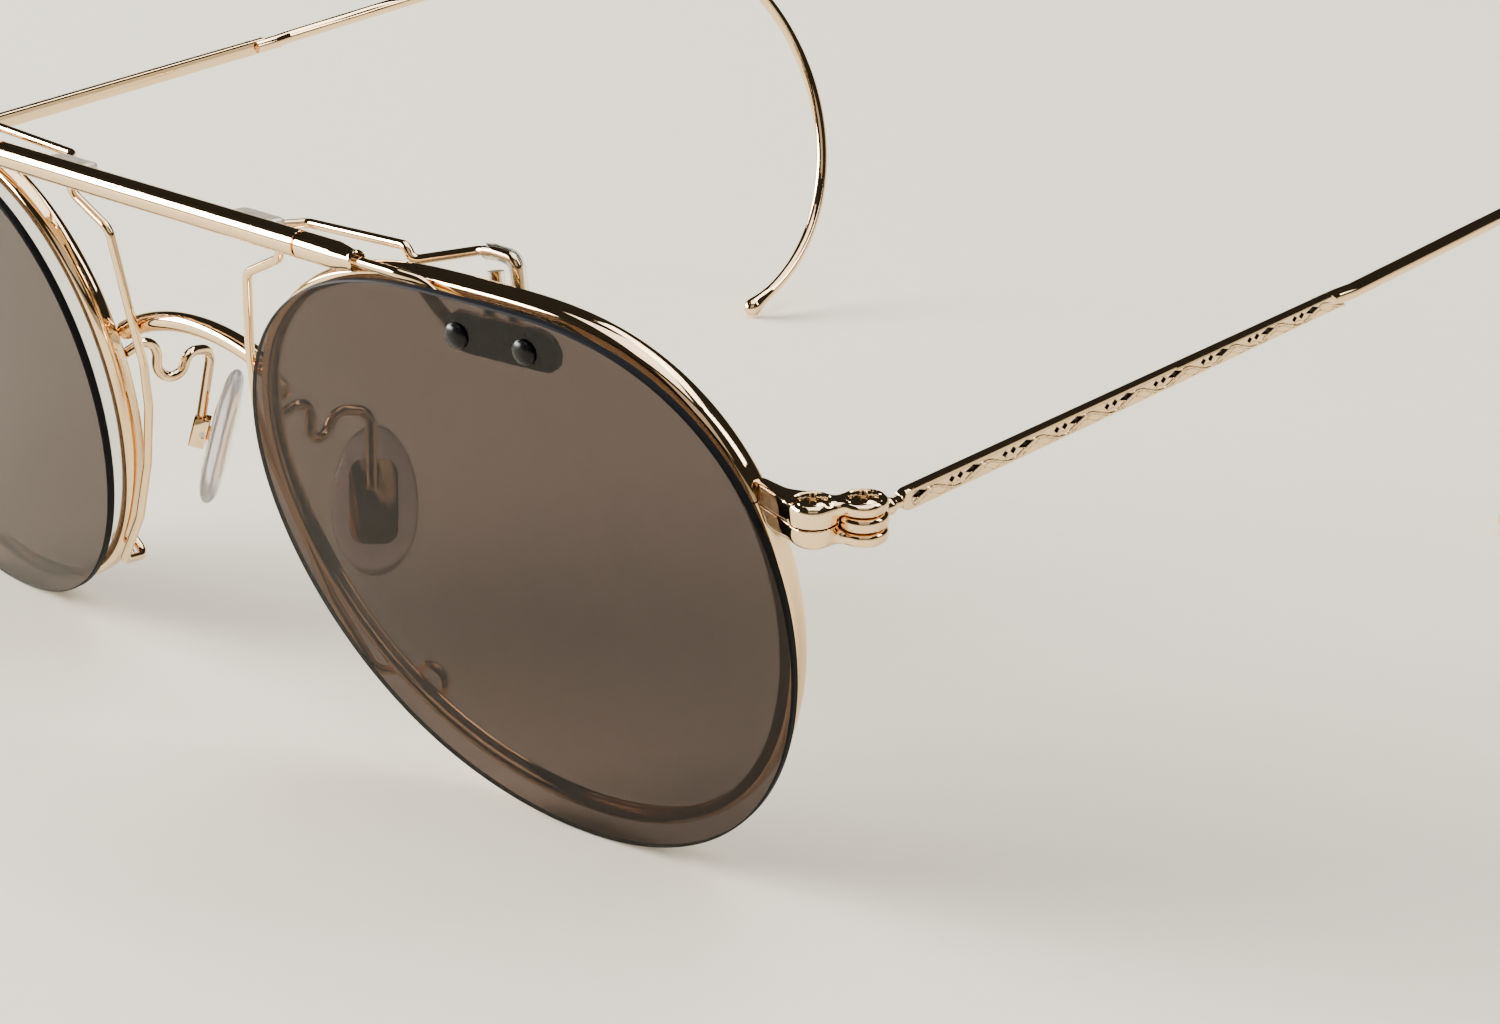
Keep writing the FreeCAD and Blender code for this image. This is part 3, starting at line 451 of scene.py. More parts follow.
def bentWireTree():
    inputs = (("Radius", "Float"), ("Bend", "Float"), ("Bend Steps", "Int"), ("Sides", "Int"),
              ("Finish", "Material"))
    tree, given = newTree("bentWire", inputs)
    run = addNode(tree, "GeometryNodeMeshToCurve", {"Mesh": given["Path"]})
    bent = addNode(tree, "GeometryNodeFilletCurve",
                   {"Curve": run.outputs[0], "Count": given["Bend Steps"], "Radius": given["Bend"],
                    "Limit Radius": True}, mode="POLY")
    section = addNode(tree, "GeometryNodeCurvePrimitiveCircle",
                      {"Resolution": given["Sides"], "Radius": given["Radius"]})
    bar = addNode(tree, "GeometryNodeCurveToMesh",
                  {"Curve": bent.outputs[0], "Profile Curve": section.outputs[0], "Fill Caps": True})
    closeTree(tree, bar.outputs[0], given["Finish"])
    return tree


def fastenerTree():
    tree, given = newTree("fasteners", (("Fastener", "Object"), ("Size", "Float"), ("Finish", "Material")))
    facing = addNode(tree, "GeometryNodeInputNamedAttribute", {"Name": "facing"}, data_type="FLOAT_VECTOR")
    turn = addNode(tree, "FunctionNodeAlignRotationToVector", {"Vector": facing.outputs[0]}, axis="Z")
    one = addNode(tree, "GeometryNodeObjectInfo", {"Object": given["Fastener"], "As Instance": True})
    placed = addNode(tree, "GeometryNodeInstanceOnPoints",
                     {"Points": given["Path"], "Instance": one.outputs["Geometry"],
                      "Rotation": turn.outputs[0], "Scale": given["Size"]})
    closeTree(tree, placed.outputs[0], given["Finish"])
    return tree


wireTree = bentWireTree()
fixingTree = fastenerTree()
wireSharp = 50.0  # degrees, so that only the ends of a wire have a sharp edge


def nodesMesh(name, tree, points, values, facings=None):
    mesh = bpy.data.meshes.new(name + "Path")
    edges = [] if facings else [(i, i + 1) for i in range(len(points) - 1)]
    mesh.from_pydata([Vector(p) * mm for p in points], edges, [])
    if facings:
        store = mesh.attributes.new("facing", "FLOAT_VECTOR", "POINT")
        store.data.foreach_set("vector", np.array([list(f) for f in facings], np.float32).ravel())
    helper = bpy.data.objects.new(name + "Path", mesh)
    bpy.context.scene.collection.objects.link(helper)
    step = helper.modifiers.new("nodes", "NODES")
    step.node_group = tree
    for item in tree.interface.items_tree:
        if item.in_out == "INPUT" and item.name in values:
            step[item.identifier] = values[item.name]
    return bakedMesh(helper)


def onSide(side, points):
    return points if side == "left" else [Vector((-p[0], p[1], p[2])) for p in points]


def addWire(name, points, look, finish, body, slot, *nodes):
    values = {"Radius": look["radius"] * mm, "Bend": look["bend"] * mm, "Bend Steps": look["steps"],
              "Sides": look["sides"], "Finish": finish}
    return dress(placePiece(name, nodesMesh(name, wireTree, points, values), wireSharp), body, slot, *nodes)


def addWirePair(name, points, look, finish, node, body, slot):
    return [addWire(name + side.capitalize(), onSide(side, points), look, finish,
                    body.replace("SIDE", side), slot, node + "_" + side) for side in sides]


# A shape for the fasteners' tree, kept out of the scene
def helperObject(name, verts, faces, finish):
    piece = meshPiece(name, verts, faces, [finish])
    bpy.context.scene.collection.objects.unlink(piece)
    return piece


# Fasteners on points, one piece for each side
def addFixings(name, shape, spots, facing, finish, sharp, body, slot, *nodes):
    for side in sides:
        title = name + side.capitalize()
        values = {"Fastener": shape, "Size": 1.0, "Finish": finish}
        mesh = nodesMesh(title, fixingTree, onSide(side, spots), values, onSide(side, [facing] * len(spots)))
        dress(placePiece(title, mesh, sharp), body, slot, *[node + "_" + side for node in nodes])


# Camera at the photograph's angle

camera = {"spot": (211.98, -211.911, 108.873), "turn": (70.34, 0.0, 45.09), "lens": 83.549, "sensor": 36.0,
          "near": 0.01, "far": 50.0}
eye = bpy.data.objects.new("photoCamera", bpy.data.cameras.new("photoCamera"))
eye.location = Vector(camera["spot"]) * mm
eye.rotation_euler = [math.radians(a) for a in camera["turn"]]
eye.data.lens = camera["lens"]
eye.data.sensor_fit = "HORIZONTAL"
eye.data.sensor_width = camera["sensor"]
eye.data.clip_start, eye.data.clip_end = camera["near"], camera["far"]
bpy.context.scene.collection.objects.link(eye)
bpy.context.scene.camera = eye


# Rim: drawn wire with a rounded outer side and a groove for the lens, open at the lock

rim = {"wall": 1.1, "depth": 2.0, "crown": 0.78, "squareness": 2.7, "crownSteps": 24, "steps": 288,
       "split": 0.12, "lip": 0.4, "lipRound": ((0.14, 0.02), (0.03, 0.07), (0.0, 0.16)), "corner": 0.04,
       "grooveFloor": 0.6, "grooveCorner": 0.03, "splitSearch": (5.0, 30.0, 40)}
depth = rim["depth"]


def rimSection():
    half = depth / 2
    section = []
    for k in range(rim["crownSteps"] + 1):
        turn = math.radians(-90 + 180 * k / rim["crownSteps"])
        wide = abs(math.sin(turn)) ** (2 / rim["squareness"])
        tall = abs(math.cos(turn)) ** (2 / rim["squareness"])
        section.append((rim["crown"] * (1 - tall), half + math.copysign(wide * half, turn)))
    lip, wall, floor = rim["lip"], rim["wall"], rim["grooveFloor"]
    lipRow = [(wall - inset, back) for inset, back in rim["lipRound"]]
    lipRow += [(wall, lip - rim["corner"]), (wall - rim["corner"], lip), (floor + rim["grooveCorner"], lip),
               (floor, lip + rim["grooveCorner"])]
    return section + [(inset, depth - back) for inset, back in lipRow] + lipRow[::-1]


# The rim's angle where the lock's joint plane cuts it
def lockAngle():
    low, high, passes = rim["splitSearch"]
    inverse = hingeFrame.inverted()
    for _ in range(passes):
        middle = (low + high) / 2
        if (inverse @ byRim(middle, -rim["wall"] / 2, depth / 2)).z < 0:
            low = middle
        else:
            high = middle
    return low


section = rimSection()
splitAngle = lockAngle()
halfSplit = math.degrees(rim["split"] / 2 / outlineRadius(splitAngle))
loops = []
for k in range(rim["steps"] + 1):
    angle = splitAngle + halfSplit + (360 - 2 * halfSplit) * k / rim["steps"]
    loops.append([rimFrame @ (outlineSpot(angle, -stance["rimUnder"] - inset) + rearward * back)
                  for inset, back in section])
addPair("rim", *joinLoops(loops), [gold], "rim", "frame", "gold", sharp=40.0)


# Clear lens in the rim's groove, a shallow meniscus

eyeLens = {"inset": 0.64, "front": 0.44, "back": 1.56, "edge": 0.25, "bulge": 0.5, "steps": 160, "rings": 8}


def lensLoops(place, look, offset, bow, front, back):
    edge, steps, rings = look["edge"], look["steps"], look["rings"]
    shares = [math.sin(math.pi / 2 * (r + 1) / rings) for r in range(rings - 1)]
    rows = [(offset - edge, share, front) for share in shares]
    rows += [(offset - edge, 1.0, front), (offset, 1.0, front + edge), (offset, 1.0, back - edge),
             (offset - edge, 1.0, back)]
    rows += [(offset - edge, share, back) for share in reversed(shares)]
    loops = []
    for reach, share, y in rows:
        spots = [outlineSpot(360 * s / steps, reach) * share for s in range(steps)]
        loops.append([place @ Vector((p.x, y + bow(p.x, p.z), p.z)) for p in spots])
    return loops


def eyeBulge(x, z):
    return -eyeLens["bulge"] * max(0.0, 1 - (x * x + z * z) / outline["radius"] ** 2)


eyeLoops = lensLoops(rimFrame, eyeLens, -stance["rimUnder"] - eyeLens["inset"], eyeBulge, eyeLens["front"],
                     eyeLens["back"])
addPair("eyeLens", *joinLoops(eyeLoops), [clearResin], "eye_lens", "frame", "clear_lens", sharp=25.0)
print("rims and clear lenses made")


# Brown lens: bevelled edge in its own dark finish, three strips of faces wide

sunLens = {"thickness": 0.7, "edge": 0.12, "steps": 224, "rings": 8, "edgeStrips": 3}
sunLoops = lensLoops(lensFrame, sunLens, 0.0, sag, 0.0, sunLens["thickness"])
sunVerts, sunFaces = joinLoops(sunLoops)
edgeStart = (sunLens["rings"] - 1) * sunLens["steps"]
edgeStop = edgeStart + sunLens["edgeStrips"] * sunLens["steps"]
sunPicks = [1 if edgeStart <= i < edgeStop else 0 for i in range(len(sunFaces))]
addPair("sunLens", sunVerts, sunFaces, [brownResin, brownEdge], "sun_lens", "flip", "brown_lens", sunPicks,
        sharp=25.0)


# Lens wire: round where it leaves the ferrule, hammered flat behind the lens

lensWire = {"radius": 0.4, "flatWide": 0.72, "flatThick": 0.24, "bend": 2.0, "bendSteps": 12, "clear": 0.15,
            "lead": 4.2, "angle": 104.0, "lap": 0.6, "hammerLead": 0.6, "hammerRun": 2.2, "step": 0.25,
            "sides": 28}
barrel = {"radius": 1.03, "bore": 0.72, "length": 38.0, "seam": 0.08, "groove": 0.11, "grooveFloor": 0.74,
          "edge": 0.03, "steps": 96}
ferrule = {"tube": 4.0, "taper": 2.2, "endRadius": 0.7, "grip": 2.4, "bore": 0.46, "endBore": 0.41,
           "shoulder": ((-0.15, 0.0), (0.1, -0.03)),
           "bead": ((-0.5, 0.04), (-0.38, 0.1), (-0.2, 0.13), (-0.06, 0.08), (0.0, -0.02))}
plate = {"length": 10.4, "height": 3.2, "thickness": 0.5, "inset": 2.85, "offset": 2.45, "ease": 0.08,
         "easeSteps": 3}
ferruleStart = barrel["length"] / 2 + barrel["seam"]
ferruleEnd = ferruleStart + ferrule["tube"] + ferrule["taper"]
plateHeight = outlineRadius(90) - plate["inset"]
plateSeat = sunLens["thickness"] + sag(plate["offset"] + plate["length"] / 2,
                                       plateHeight + plate["height"] / 2)


# Straight runs joined by arcs
def bentPath(points, bend, steps):
    path = [points[0]]
    for before, corner, after in zip(points, points[1:], points[2:]):
        into, out = (corner - before).normalized(), (after - corner).normalized()
        turn = into.angle(out)
        start = corner - into * bend * math.tan(turn / 2)
        inside = (out - into * math.cos(turn)) / math.sin(turn)
        for k in range(steps + 1):
            t = turn * k / steps
            path.append(start + into * bend * math.sin(t) + inside * bend * (1 - math.cos(t)))
    return path + [points[-1]]


def lensWireLoops():
    look, radius = lensWire, lensWire["radius"]
    start = barrelMiddle + leftward * (ferruleStart + ferrule["grip"])
    lead = barrelMiddle + leftward * (ferruleEnd + look["lead"])
    rest = sunLens["thickness"] + sag(outlineRadius(look["angle"]), 0) + radius + look["clear"]
    edge = polar(lensFrame, look["angle"], 0, rest)
    plateEnd = plate["offset"] - plate["length"] / 2 + look["lap"]
    end = lensFrame @ Vector((plateEnd, plateSeat + plate["thickness"] / 2, plateHeight))
    path = bentPath([start, lead, edge, end], look["bend"], look["bendSteps"])
    fine = [path[0]]
    for a, b in zip(path, path[1:]):
        parts = max(1, int((b - a).length / look["step"]))
        fine += [a.lerp(b, (k + 1) / parts) for k in range(parts)]
    normal = lensFrame.to_3x3() @ rearward
    roundRun = (lead - start).length + (edge - lead).length - look["hammerLead"]
    turns = [2 * math.pi * k / look["sides"] for k in range(look["sides"])]
    loops, gone = [], 0.0
    for i, spot in enumerate(fine):
        ahead = (fine[min(i + 1, len(fine) - 1)] - fine[max(i - 1, 0)]).normalized()
        gone += (spot - fine[i - 1]).length if i else 0.0
        t = clamp((gone - roundRun) / look["hammerRun"])
        flat = t * t * (3 - 2 * t)
        side = ahead.cross(normal).normalized()
        deep = side.cross(ahead).normalized()
        wide = radius + (look["flatWide"] - radius) * flat
        thick = radius + (look["flatThick"] - radius) * flat
        loops.append([spot + side * wide * math.cos(a) + deep * thick * math.sin(a) for a in turns])
    return loops


addPair("lensWire", *joinLoops(lensWireLoops()), [gold], "lens_wire", "flip", "gold", sharp=wireSharp)
for side in sides:
    easedCopy("lens_plate_" + side, "lensPlate" + side.capitalize(), plate, blackLacquer, "flip", "steel")


# Rivets: domed heads in front of the lens, smaller tails behind the plate

rivet = {"spacing": 6.3, "offset": 1.85, "radius": 0.5, "sides": 40, "pole": 0.004,
         "headRadius": 1.0, "headHeight": 0.55, "headEdge": 0.04, "headLift": 0.03, "headSteps": 12,
         "tailRadius": 0.8, "tailHeight": 0.3, "tailSteps": 9}


def domeProfile(radius, height, foot, sign, count):
    turns = [math.pi / 2 * k / (count - 1) for k in range(count)]
    return [(foot + sign * height * math.sin(t), max(radius * math.cos(t), rivet["pole"])) for t in turns]


rivetLength = plateSeat + plate["thickness"] - sag(rivet["offset"], plateHeight)
rivetTail = domeProfile(rivet["tailRadius"], rivet["tailHeight"], -rivetLength, -1, rivet["tailSteps"])
rivetHead = domeProfile(rivet["headRadius"], rivet["headHeight"], rivet["headLift"], 1, rivet["headSteps"])
rivetShank = [(-rivetLength, rivet["radius"]), (0.0, rivet["radius"]),
              (0.0, rivet["headRadius"] - rivet["headEdge"])]
rivetRows = rivetTail[::-1] + rivetShank + rivetHead
rivetShape = helperObject("rivetShape", *turned(rivetRows, Vector(), up, rivet["sides"]), blackOxide)
rivetSpots = []
for along in (-0.5, 0.5):
    x = rivet["offset"] + along * rivet["spacing"]
    rivetSpots.append(lensFrame @ Vector((x, sag(x, plateHeight), plateHeight)))
addFixings("lensRivets", rivetShape, rivetSpots, lensFrame.to_3x3() @ -rearward, blackOxide, 40.0, "flip",
           "black_rivet", "lens_rivets")
print("brown lenses, plates and rivets made")


# Barrel above the bridge, and the ferrules that turn at its ends

half, radius = barrel["length"] / 2, barrel["radius"]
groove = [(0.0, barrel["grooveFloor"]), (barrel["groove"], barrel["grooveFloor"]),
          (barrel["groove"], radius - barrel["edge"]), (barrel["groove"] + barrel["edge"], radius)]
barrelEnd = [(0.0, barrel["bore"])] + groove
barrelProfile = [(along - half, reach) for along, reach in barrelEnd]
barrelProfile += [(half - along, reach) for along, reach in reversed(barrelEnd)]
barrelShape = turned(barrelProfile, barrelMiddle, leftward, barrel["steps"], ring=True)
dress(meshPiece("clipBarrel", *barrelShape, [gold]), "frame", "gold", "clip_barrel")

ferruleLength, tip = ferrule["tube"] + ferrule["taper"], ferrule["endRadius"]
ferruleProfile = [(0.0, ferrule["bore"])] + groove
ferruleProfile += [(ferrule["tube"] + along, radius + rise) for along, rise in ferrule["shoulder"]]
ferruleProfile += [(ferruleLength + along, tip + rise) for along, rise in ferrule["bead"]]
ferruleProfile.append((ferruleLength, ferrule["endBore"]))
ferruleFoot = barrelMiddle + leftward * ferruleStart
ferruleShape = turned(ferruleProfile, ferruleFoot, leftward, barrel["steps"], ring=True)
addPair("ferrule", *ferruleShape, [gold], "ferrule", "flip", "gold", sharp=30.0)


# Lugs behind the barrel, with the clip wires and nasal wires that leave them. Each spot of a wire is
# the rim's angle, then shares of the sizes that it follows.

lug = {"inset": 4.8, "depth": 2.5, "grain": 0.06, "tumbling": 90}
clip = {"radius": 0.37, "bend": 0.9, "steps": 8, "sides": 28, "stand": 3.4, "loopDepth": 5.7, "over": 1.0,
        "run": ((135.3, 0.63, 0.65), (113.9, 0.055, 0.35), (113.6, -0.13, 0.27)),
        "loop": ((101.9, -0.08, 1.0), (97.1, -0.03, 0.96), (91.1, -0.03, 0.90), (88.2, -0.97, 0.52),
                 (97.6, -0.97, 0.54), (97.6, -0.27, 0.88))}
sleeve = {"radius": 0.6, "wall": 0.2, "bend": 0.9, "sides": 36, "steps": 10}
nasal = {"radius": 0.37, "bend": 1.2, "steps": 8, "sides": 24, "root": 0.7, "reach": 4.9, "edge": 1.1,
         "hookClear": 0.22, "hookHeight": 2.4,
         "run": ((141.5, 0.60, 1.25), (149.6, 1.0, 1.3), (161.7, 0.63, 1.0), (170.6, 0.55, 0.9),
                 (178.7, 0.41, 0.8)),
         "along": ((191.4, 0.6), (204.7, 0.25), (220.0, -0.1)),
         "hook": ((225.2, 0.37), (226.1, -1.0), (231.6, -0.7), (232.2, 0.2))}
for side in sides:
    castCopy("clip_lug_" + side, "clipLug" + side.capitalize(), lug, nickelSilver, "frame", "gold")
lugEnd = barrelMiddle + Vector((half - lug["inset"], (radius + lug["depth"]) / 2, 0))


def clipSpot(angle, out, back):
    return byRim(angle, out * clip["loopDepth"], depth + back * clip["stand"])


loopSpots = [clipSpot(*spot) for spot in clip["loop"]]
clipSpots = [lugEnd - leftward * clip["over"]] + [clipSpot(*spot) for spot in clip["run"]] + loopSpots
addWirePair("clipWire", clipSpots, clip, gold, "clip_wire", "frame", "gold")

# The sleeve's ends are opened, and its wall goes inwards
sleeveSpots = [(loopSpots[0] + loopSpots[1]) / 2] + loopSpots[1:]
for tube in addWirePair("clipSleeve", sleeveSpots, sleeve, clearVinyl, "clip_sleeve", "frame", "clear_tube"):
    shell = bmesh.new()
    shell.from_mesh(tube.data)
    bmesh.ops.delete(shell, geom=[f for f in shell.faces if len(f.verts) > 4], context="FACES_ONLY")
    shell.to_mesh(tube.data)
    shell.free()
    wall = tube.modifiers.new("wall", "SOLIDIFY")
    wall.thickness = sleeve["wall"] * mm
    wall.offset = -1.0

nasalSpots = [lugEnd - leftward * nasal["root"]]
nasalSpots += [byRim(angle, out * nasal["reach"], back * depth) for angle, out, back in nasal["run"]]
nasalSpots += [byRim(angle, nasal["edge"], back * depth) for angle, back in nasal["along"]]
hookBack = depth + nasal["radius"] + nasal["hookClear"]
nasalSpots += [byRim(angle, out * nasal["hookHeight"], hookBack) for angle, out in nasal["hook"]]
addWirePair("nasalWire", nasalSpots, nasal, gold, "nasal_wire", "frame", "gold")
print("barrel, clip and nasal wires made")


# Bridge: one arched bar between the rims, ends on their backs

bridge = {"radius": 0.8, "bend": 0.01, "steps": 1, "sides": 40, "rise": 2.5, "forward": 0.3, "angle": 165.6,
          "sink": 0.1, "arcSteps": 48}
bridgeEnd = byRim(bridge["angle"], -rim["wall"] / 2, depth + bridge["radius"] - bridge["sink"])
crown = Vector((0, bridgeEnd.y - bridge["forward"], bridgeEnd.z + bridge["rise"]))
arch = crown - Vector((0, bridgeEnd.y, bridgeEnd.z))
archRadius = (bridgeEnd.x ** 2 + arch.length ** 2) / (2 * arch.length)
archUp = arch.normalized()
archMiddle = crown - archUp * archRadius
halfTurn = math.asin(bridgeEnd.x / archRadius)
archTurns = [halfTurn * (1 - 2 * k / bridge["arcSteps"]) for k in range(bridge["arcSteps"] + 1)]
bridgeSpots = [archMiddle + (archUp * math.cos(t) + leftward * math.sin(t)) * archRadius for t in archTurns]
addWire("bridgeBar", bridgeSpots, bridge, gold, "frame", "gold", "bridge")


# End pieces, and the screws that close the rim and carry the temple

endPiece = {"grain": 0.075, "tumbling": 190, "seat": 1.27, "seatFade": 0.2, "joint": 0.1, "jointFade": 0.3,
            "pivotWear": 0.4, "strapTurn": 170.7, "strapFrom": 0.6, "strapFade": 1.8, "strapEdge": -1.65,
            "strapSlim": 0.55}
toHinge = hingeFrame.inverted()
lockSpot = toHinge @ lockFrame.translation
strapTurn = math.radians(endPiece["strapTurn"])
strapAlong = Vector((math.cos(strapTurn), math.sin(strapTurn), 0))
strapAcross = Vector((strapAlong.y, -strapAlong.x, 0))


# Screw seats and the closed joint of the lock stay crisp, the pivot's lobes wear less than the lock's
def endPieceWear(spot):
    p = toHinge @ Vector((abs(spot.x), spot.y, spot.z))
    toLock, toPivot = math.hypot(p.x - lockSpot.x, p.y - lockSpot.y), math.hypot(p.x, p.y)
    seat = clamp((min(toLock, toPivot) - endPiece["seat"]) / endPiece["seatFade"])
    if toPivot < toLock:
        return seat * endPiece["pivotWear"]
    return seat * clamp((abs(p.z) - endPiece["joint"]) / endPiece["jointFade"])


# The strap to the rim is filed slim along its back
def slimStrap(spot):
    side = math.copysign(1.0, spot.x)
    p = toHinge @ Vector((abs(spot.x), spot.y, spot.z)) - lockSpot
    along, across = p.dot(strapAlong), p.dot(strapAcross)
    share = clamp((along - endPiece["strapFrom"]) / endPiece["strapFade"])
    slim = 1 - share * (1 - endPiece["strapSlim"])
    moved = endPiece["strapEdge"] + (across - endPiece["strapEdge"]) * slim
    p = hingeFrame @ (p + lockSpot + strapAcross * min(0.0, moved - across))
    return side * p.x, p.y, p.z


for side in sides:
    for level in ("upper", "lower"):
        name = "endPiece" + level.capitalize() + side.capitalize()
        castCopy(f"end_piece_{level}_{side}", name, endPiece, gold, "frame", "gold", endPieceWear, slimStrap)

screw = {"stack": 3.1, "recess": 0.05, "radius": 0.6, "shankEdge": 0.08, "tailPole": 0.01,
         "headRadius": 1.2, "headDepth": 0.6, "headEdge": 0.06, "headTrim": 0.01, "dome": 0.14,
         "slotLong": 0.92, "slotWide": 0.19, "slotDeep": 0.34, "slotWall": 0.07, "rings": 30,
         "sectors": 120, "pole": 0.005}


# How much of the slots' depth is cut at a spot of the head: crossed slots with slanting walls
def slotShare(x, y):
    u, v = (x + y) * math.sqrt(0.5), (x - y) * math.sqrt(0.5)
    inside = [min(screw["slotWide"] - abs(across), screw["slotLong"] - abs(along))
              for across, along in ((u, v), (v, u))]
    return clamp(max(inside) / screw["slotWall"] + 0.5)


def screwShape():
    foot, top = -screw["stack"] / 2, screw["stack"] / 2 - screw["recess"]
    reach = screw["headRadius"] - screw["headEdge"]
    rows = [(foot, screw["tailPole"]), (foot, screw["radius"] - screw["shankEdge"]),
            (foot + screw["shankEdge"], screw["radius"]), (top - screw["headDepth"], screw["radius"]),
            (top - screw["headEdge"], screw["headRadius"] - screw["headTrim"])]
    headStart = len(rows) * screw["sectors"]
    rows += [(top, reach * (1 - k / screw["rings"]) + screw["pole"]) for k in range(screw["rings"] + 1)]
    verts, faces = turned(rows, Vector(), up, screw["sectors"])
    for v in verts[headStart:]:
        rise = screw["dome"] * (1 - (v.x ** 2 + v.y ** 2) / reach ** 2)
        v.z += rise - screw["slotDeep"] * slotShare(v.x, v.y)
    return verts, faces


screwHelper = helperObject("screwShape", *screwShape(), gold)
hingeTurn = hingeFrame.to_3x3()
addFixings("hingeScrews", screwHelper, [lockFrame.translation.copy(), hingeFrame.translation.copy()],
           hingeTurn @ up, gold, 30.0, "frame", "gold", "lock_screw", "hinge_screw")
print("bridge, end pieces and screws made")


# Temple bar: knuckle, neck and a flat bar whose outer side is engraved with a running vine

temple = {"knuckle": 1.7, "knuckleHeight": 1.05, "knuckleRound": 0.4, "hole": 0.63, "knuckleSteps": 72,
          "neck": 0.46, "neckSteps": 40,
          "neckRows": ((1.3, -0.02), (1.75, 0.0), (2.0, 0.05), (2.2, 0.13), (2.4, 0.15), (2.6, 0.12),
                       (2.8, 0.03), (3.0, -0.02), (3.3, -0.03), (3.8, -0.04)),
          "noseStart": 3.37, "noseBlunt": 0.03, "barStart": 4.1, "barEnd": 52.5, "height": (1.5, 1.4),
          "thickness": (0.9, 0.75), "cutStart": 50.7, "cutEnd": 0.12, "ease": 0.14, "easeShare": 0.3,
          "fadeLead": 0.1, "fade": 0.5, "rows": 30, "step": 0.055,
          "archBack": 0.6, "archRadius": 0.5, "archWide": 0.06, "archDeep": 0.03, "archDark": 0.75}
# Marks are along, above, half length and half height; a line is its width, depth and painted shade
# The dark shares of the marks and notches are painted shade in the cuts
vine = {"first": 4.95, "pitch": 5.42, "count": 9, "lozenge": (0.0, 0.2, 0.95, 0.31),
        "diamonds": ((-1.35, 0.18, 0.36, 0.3), (-2.2, 0.16, 0.33, 0.28)), "markDeep": 0.16, "markSlope": 1.6,
        "markDark": 6.0, "border": 0.5, "borderFrom": 0.02, "borderLine": (0.05, 0.03, 0.7),
        "middle": -0.12, "swing": 0.4, "lag": 1.15, "ridge": (0.09, 0.035), "stemGap": 0.11,
        "twin": (0.08, 0.3, 0.75), "leaf": (0.2, 0.22, 0.6), "lineDeep": 0.035, "groundDeep": 0.01,
        "stemLine": (0.04, 0.16), "twinLine": (0.04, 0.14), "leafLine": (0.035, 0.08),
        "notchPitch": 1.1, "notch": (0.55, -0.66, 0.3, 0.14), "notchDeep": 0.05, "notchDark": 0.15}


def diamond(s, v, s0, v0, halfLong, halfTall):
    return max(0.0, 1 - abs(s - s0) / halfLong - abs(v - v0) / halfTall)


# Relief of the outer side in millimetres and its painted shade, at s along the bar and v above its middle
def engraving(s, v):
    cut, dark = 0.0, 0.0
    k = round((s - vine["first"]) / vine["pitch"])
    for n in (k - 1, k, k + 1):
        if not 0 <= n < vine["count"]:
            continue
        along = s - vine["first"] - n * vine["pitch"]
        for shape in (vine["lozenge"],) + (vine["diamonds"] if n else ()):
            mark = diamond(along, v, *shape)
            cut = max(cut, vine["markDeep"] * min(1.0, mark * vine["markSlope"]))
            dark = max(dark, min(1.0, mark * vine["markDark"]))
    if v > vine["border"] - vine["borderFrom"]:
        wide, deep, paintedShade = vine["borderLine"]
        line = max(0.0, 1 - abs(v - vine["border"]) / wide)
        return -max(cut, deep * line), max(dark, paintedShade * line)
    wave = 2 * math.pi * (s - vine["first"] - vine["lag"]) / vine["pitch"]
    high = v - vine["middle"]
    stem = high - vine["swing"] * math.cos(wave)
    twin = high + vine["twin"][0] - vine["twin"][1] * math.cos(wave - vine["twin"][2])
    leaf = high + vine["leaf"][0] - vine["leaf"][1] * math.cos(2 * wave + vine["leaf"][2])
    ridge = max(0.0, 1 - abs(stem) / vine["ridge"][0])
    for away, (wide, paintedShade) in ((abs(abs(stem) - vine["stemGap"]), vine["stemLine"]),
                                  (abs(twin), vine["twinLine"]), (abs(leaf), vine["leafLine"])):
        mark = max(0.0, 1 - away / wide)
        cut = max(cut, vine["lineDeep"] * mark)
        dark = max(dark, paintedShade * mark)
    notch = diamond(s % vine["notchPitch"], v, *vine["notch"])
    relief = vine["ridge"][1] * ridge - max(cut + vine["groundDeep"], vine["notchDeep"] * notch)
    return relief, max(dark, vine["notchDark"] * notch)
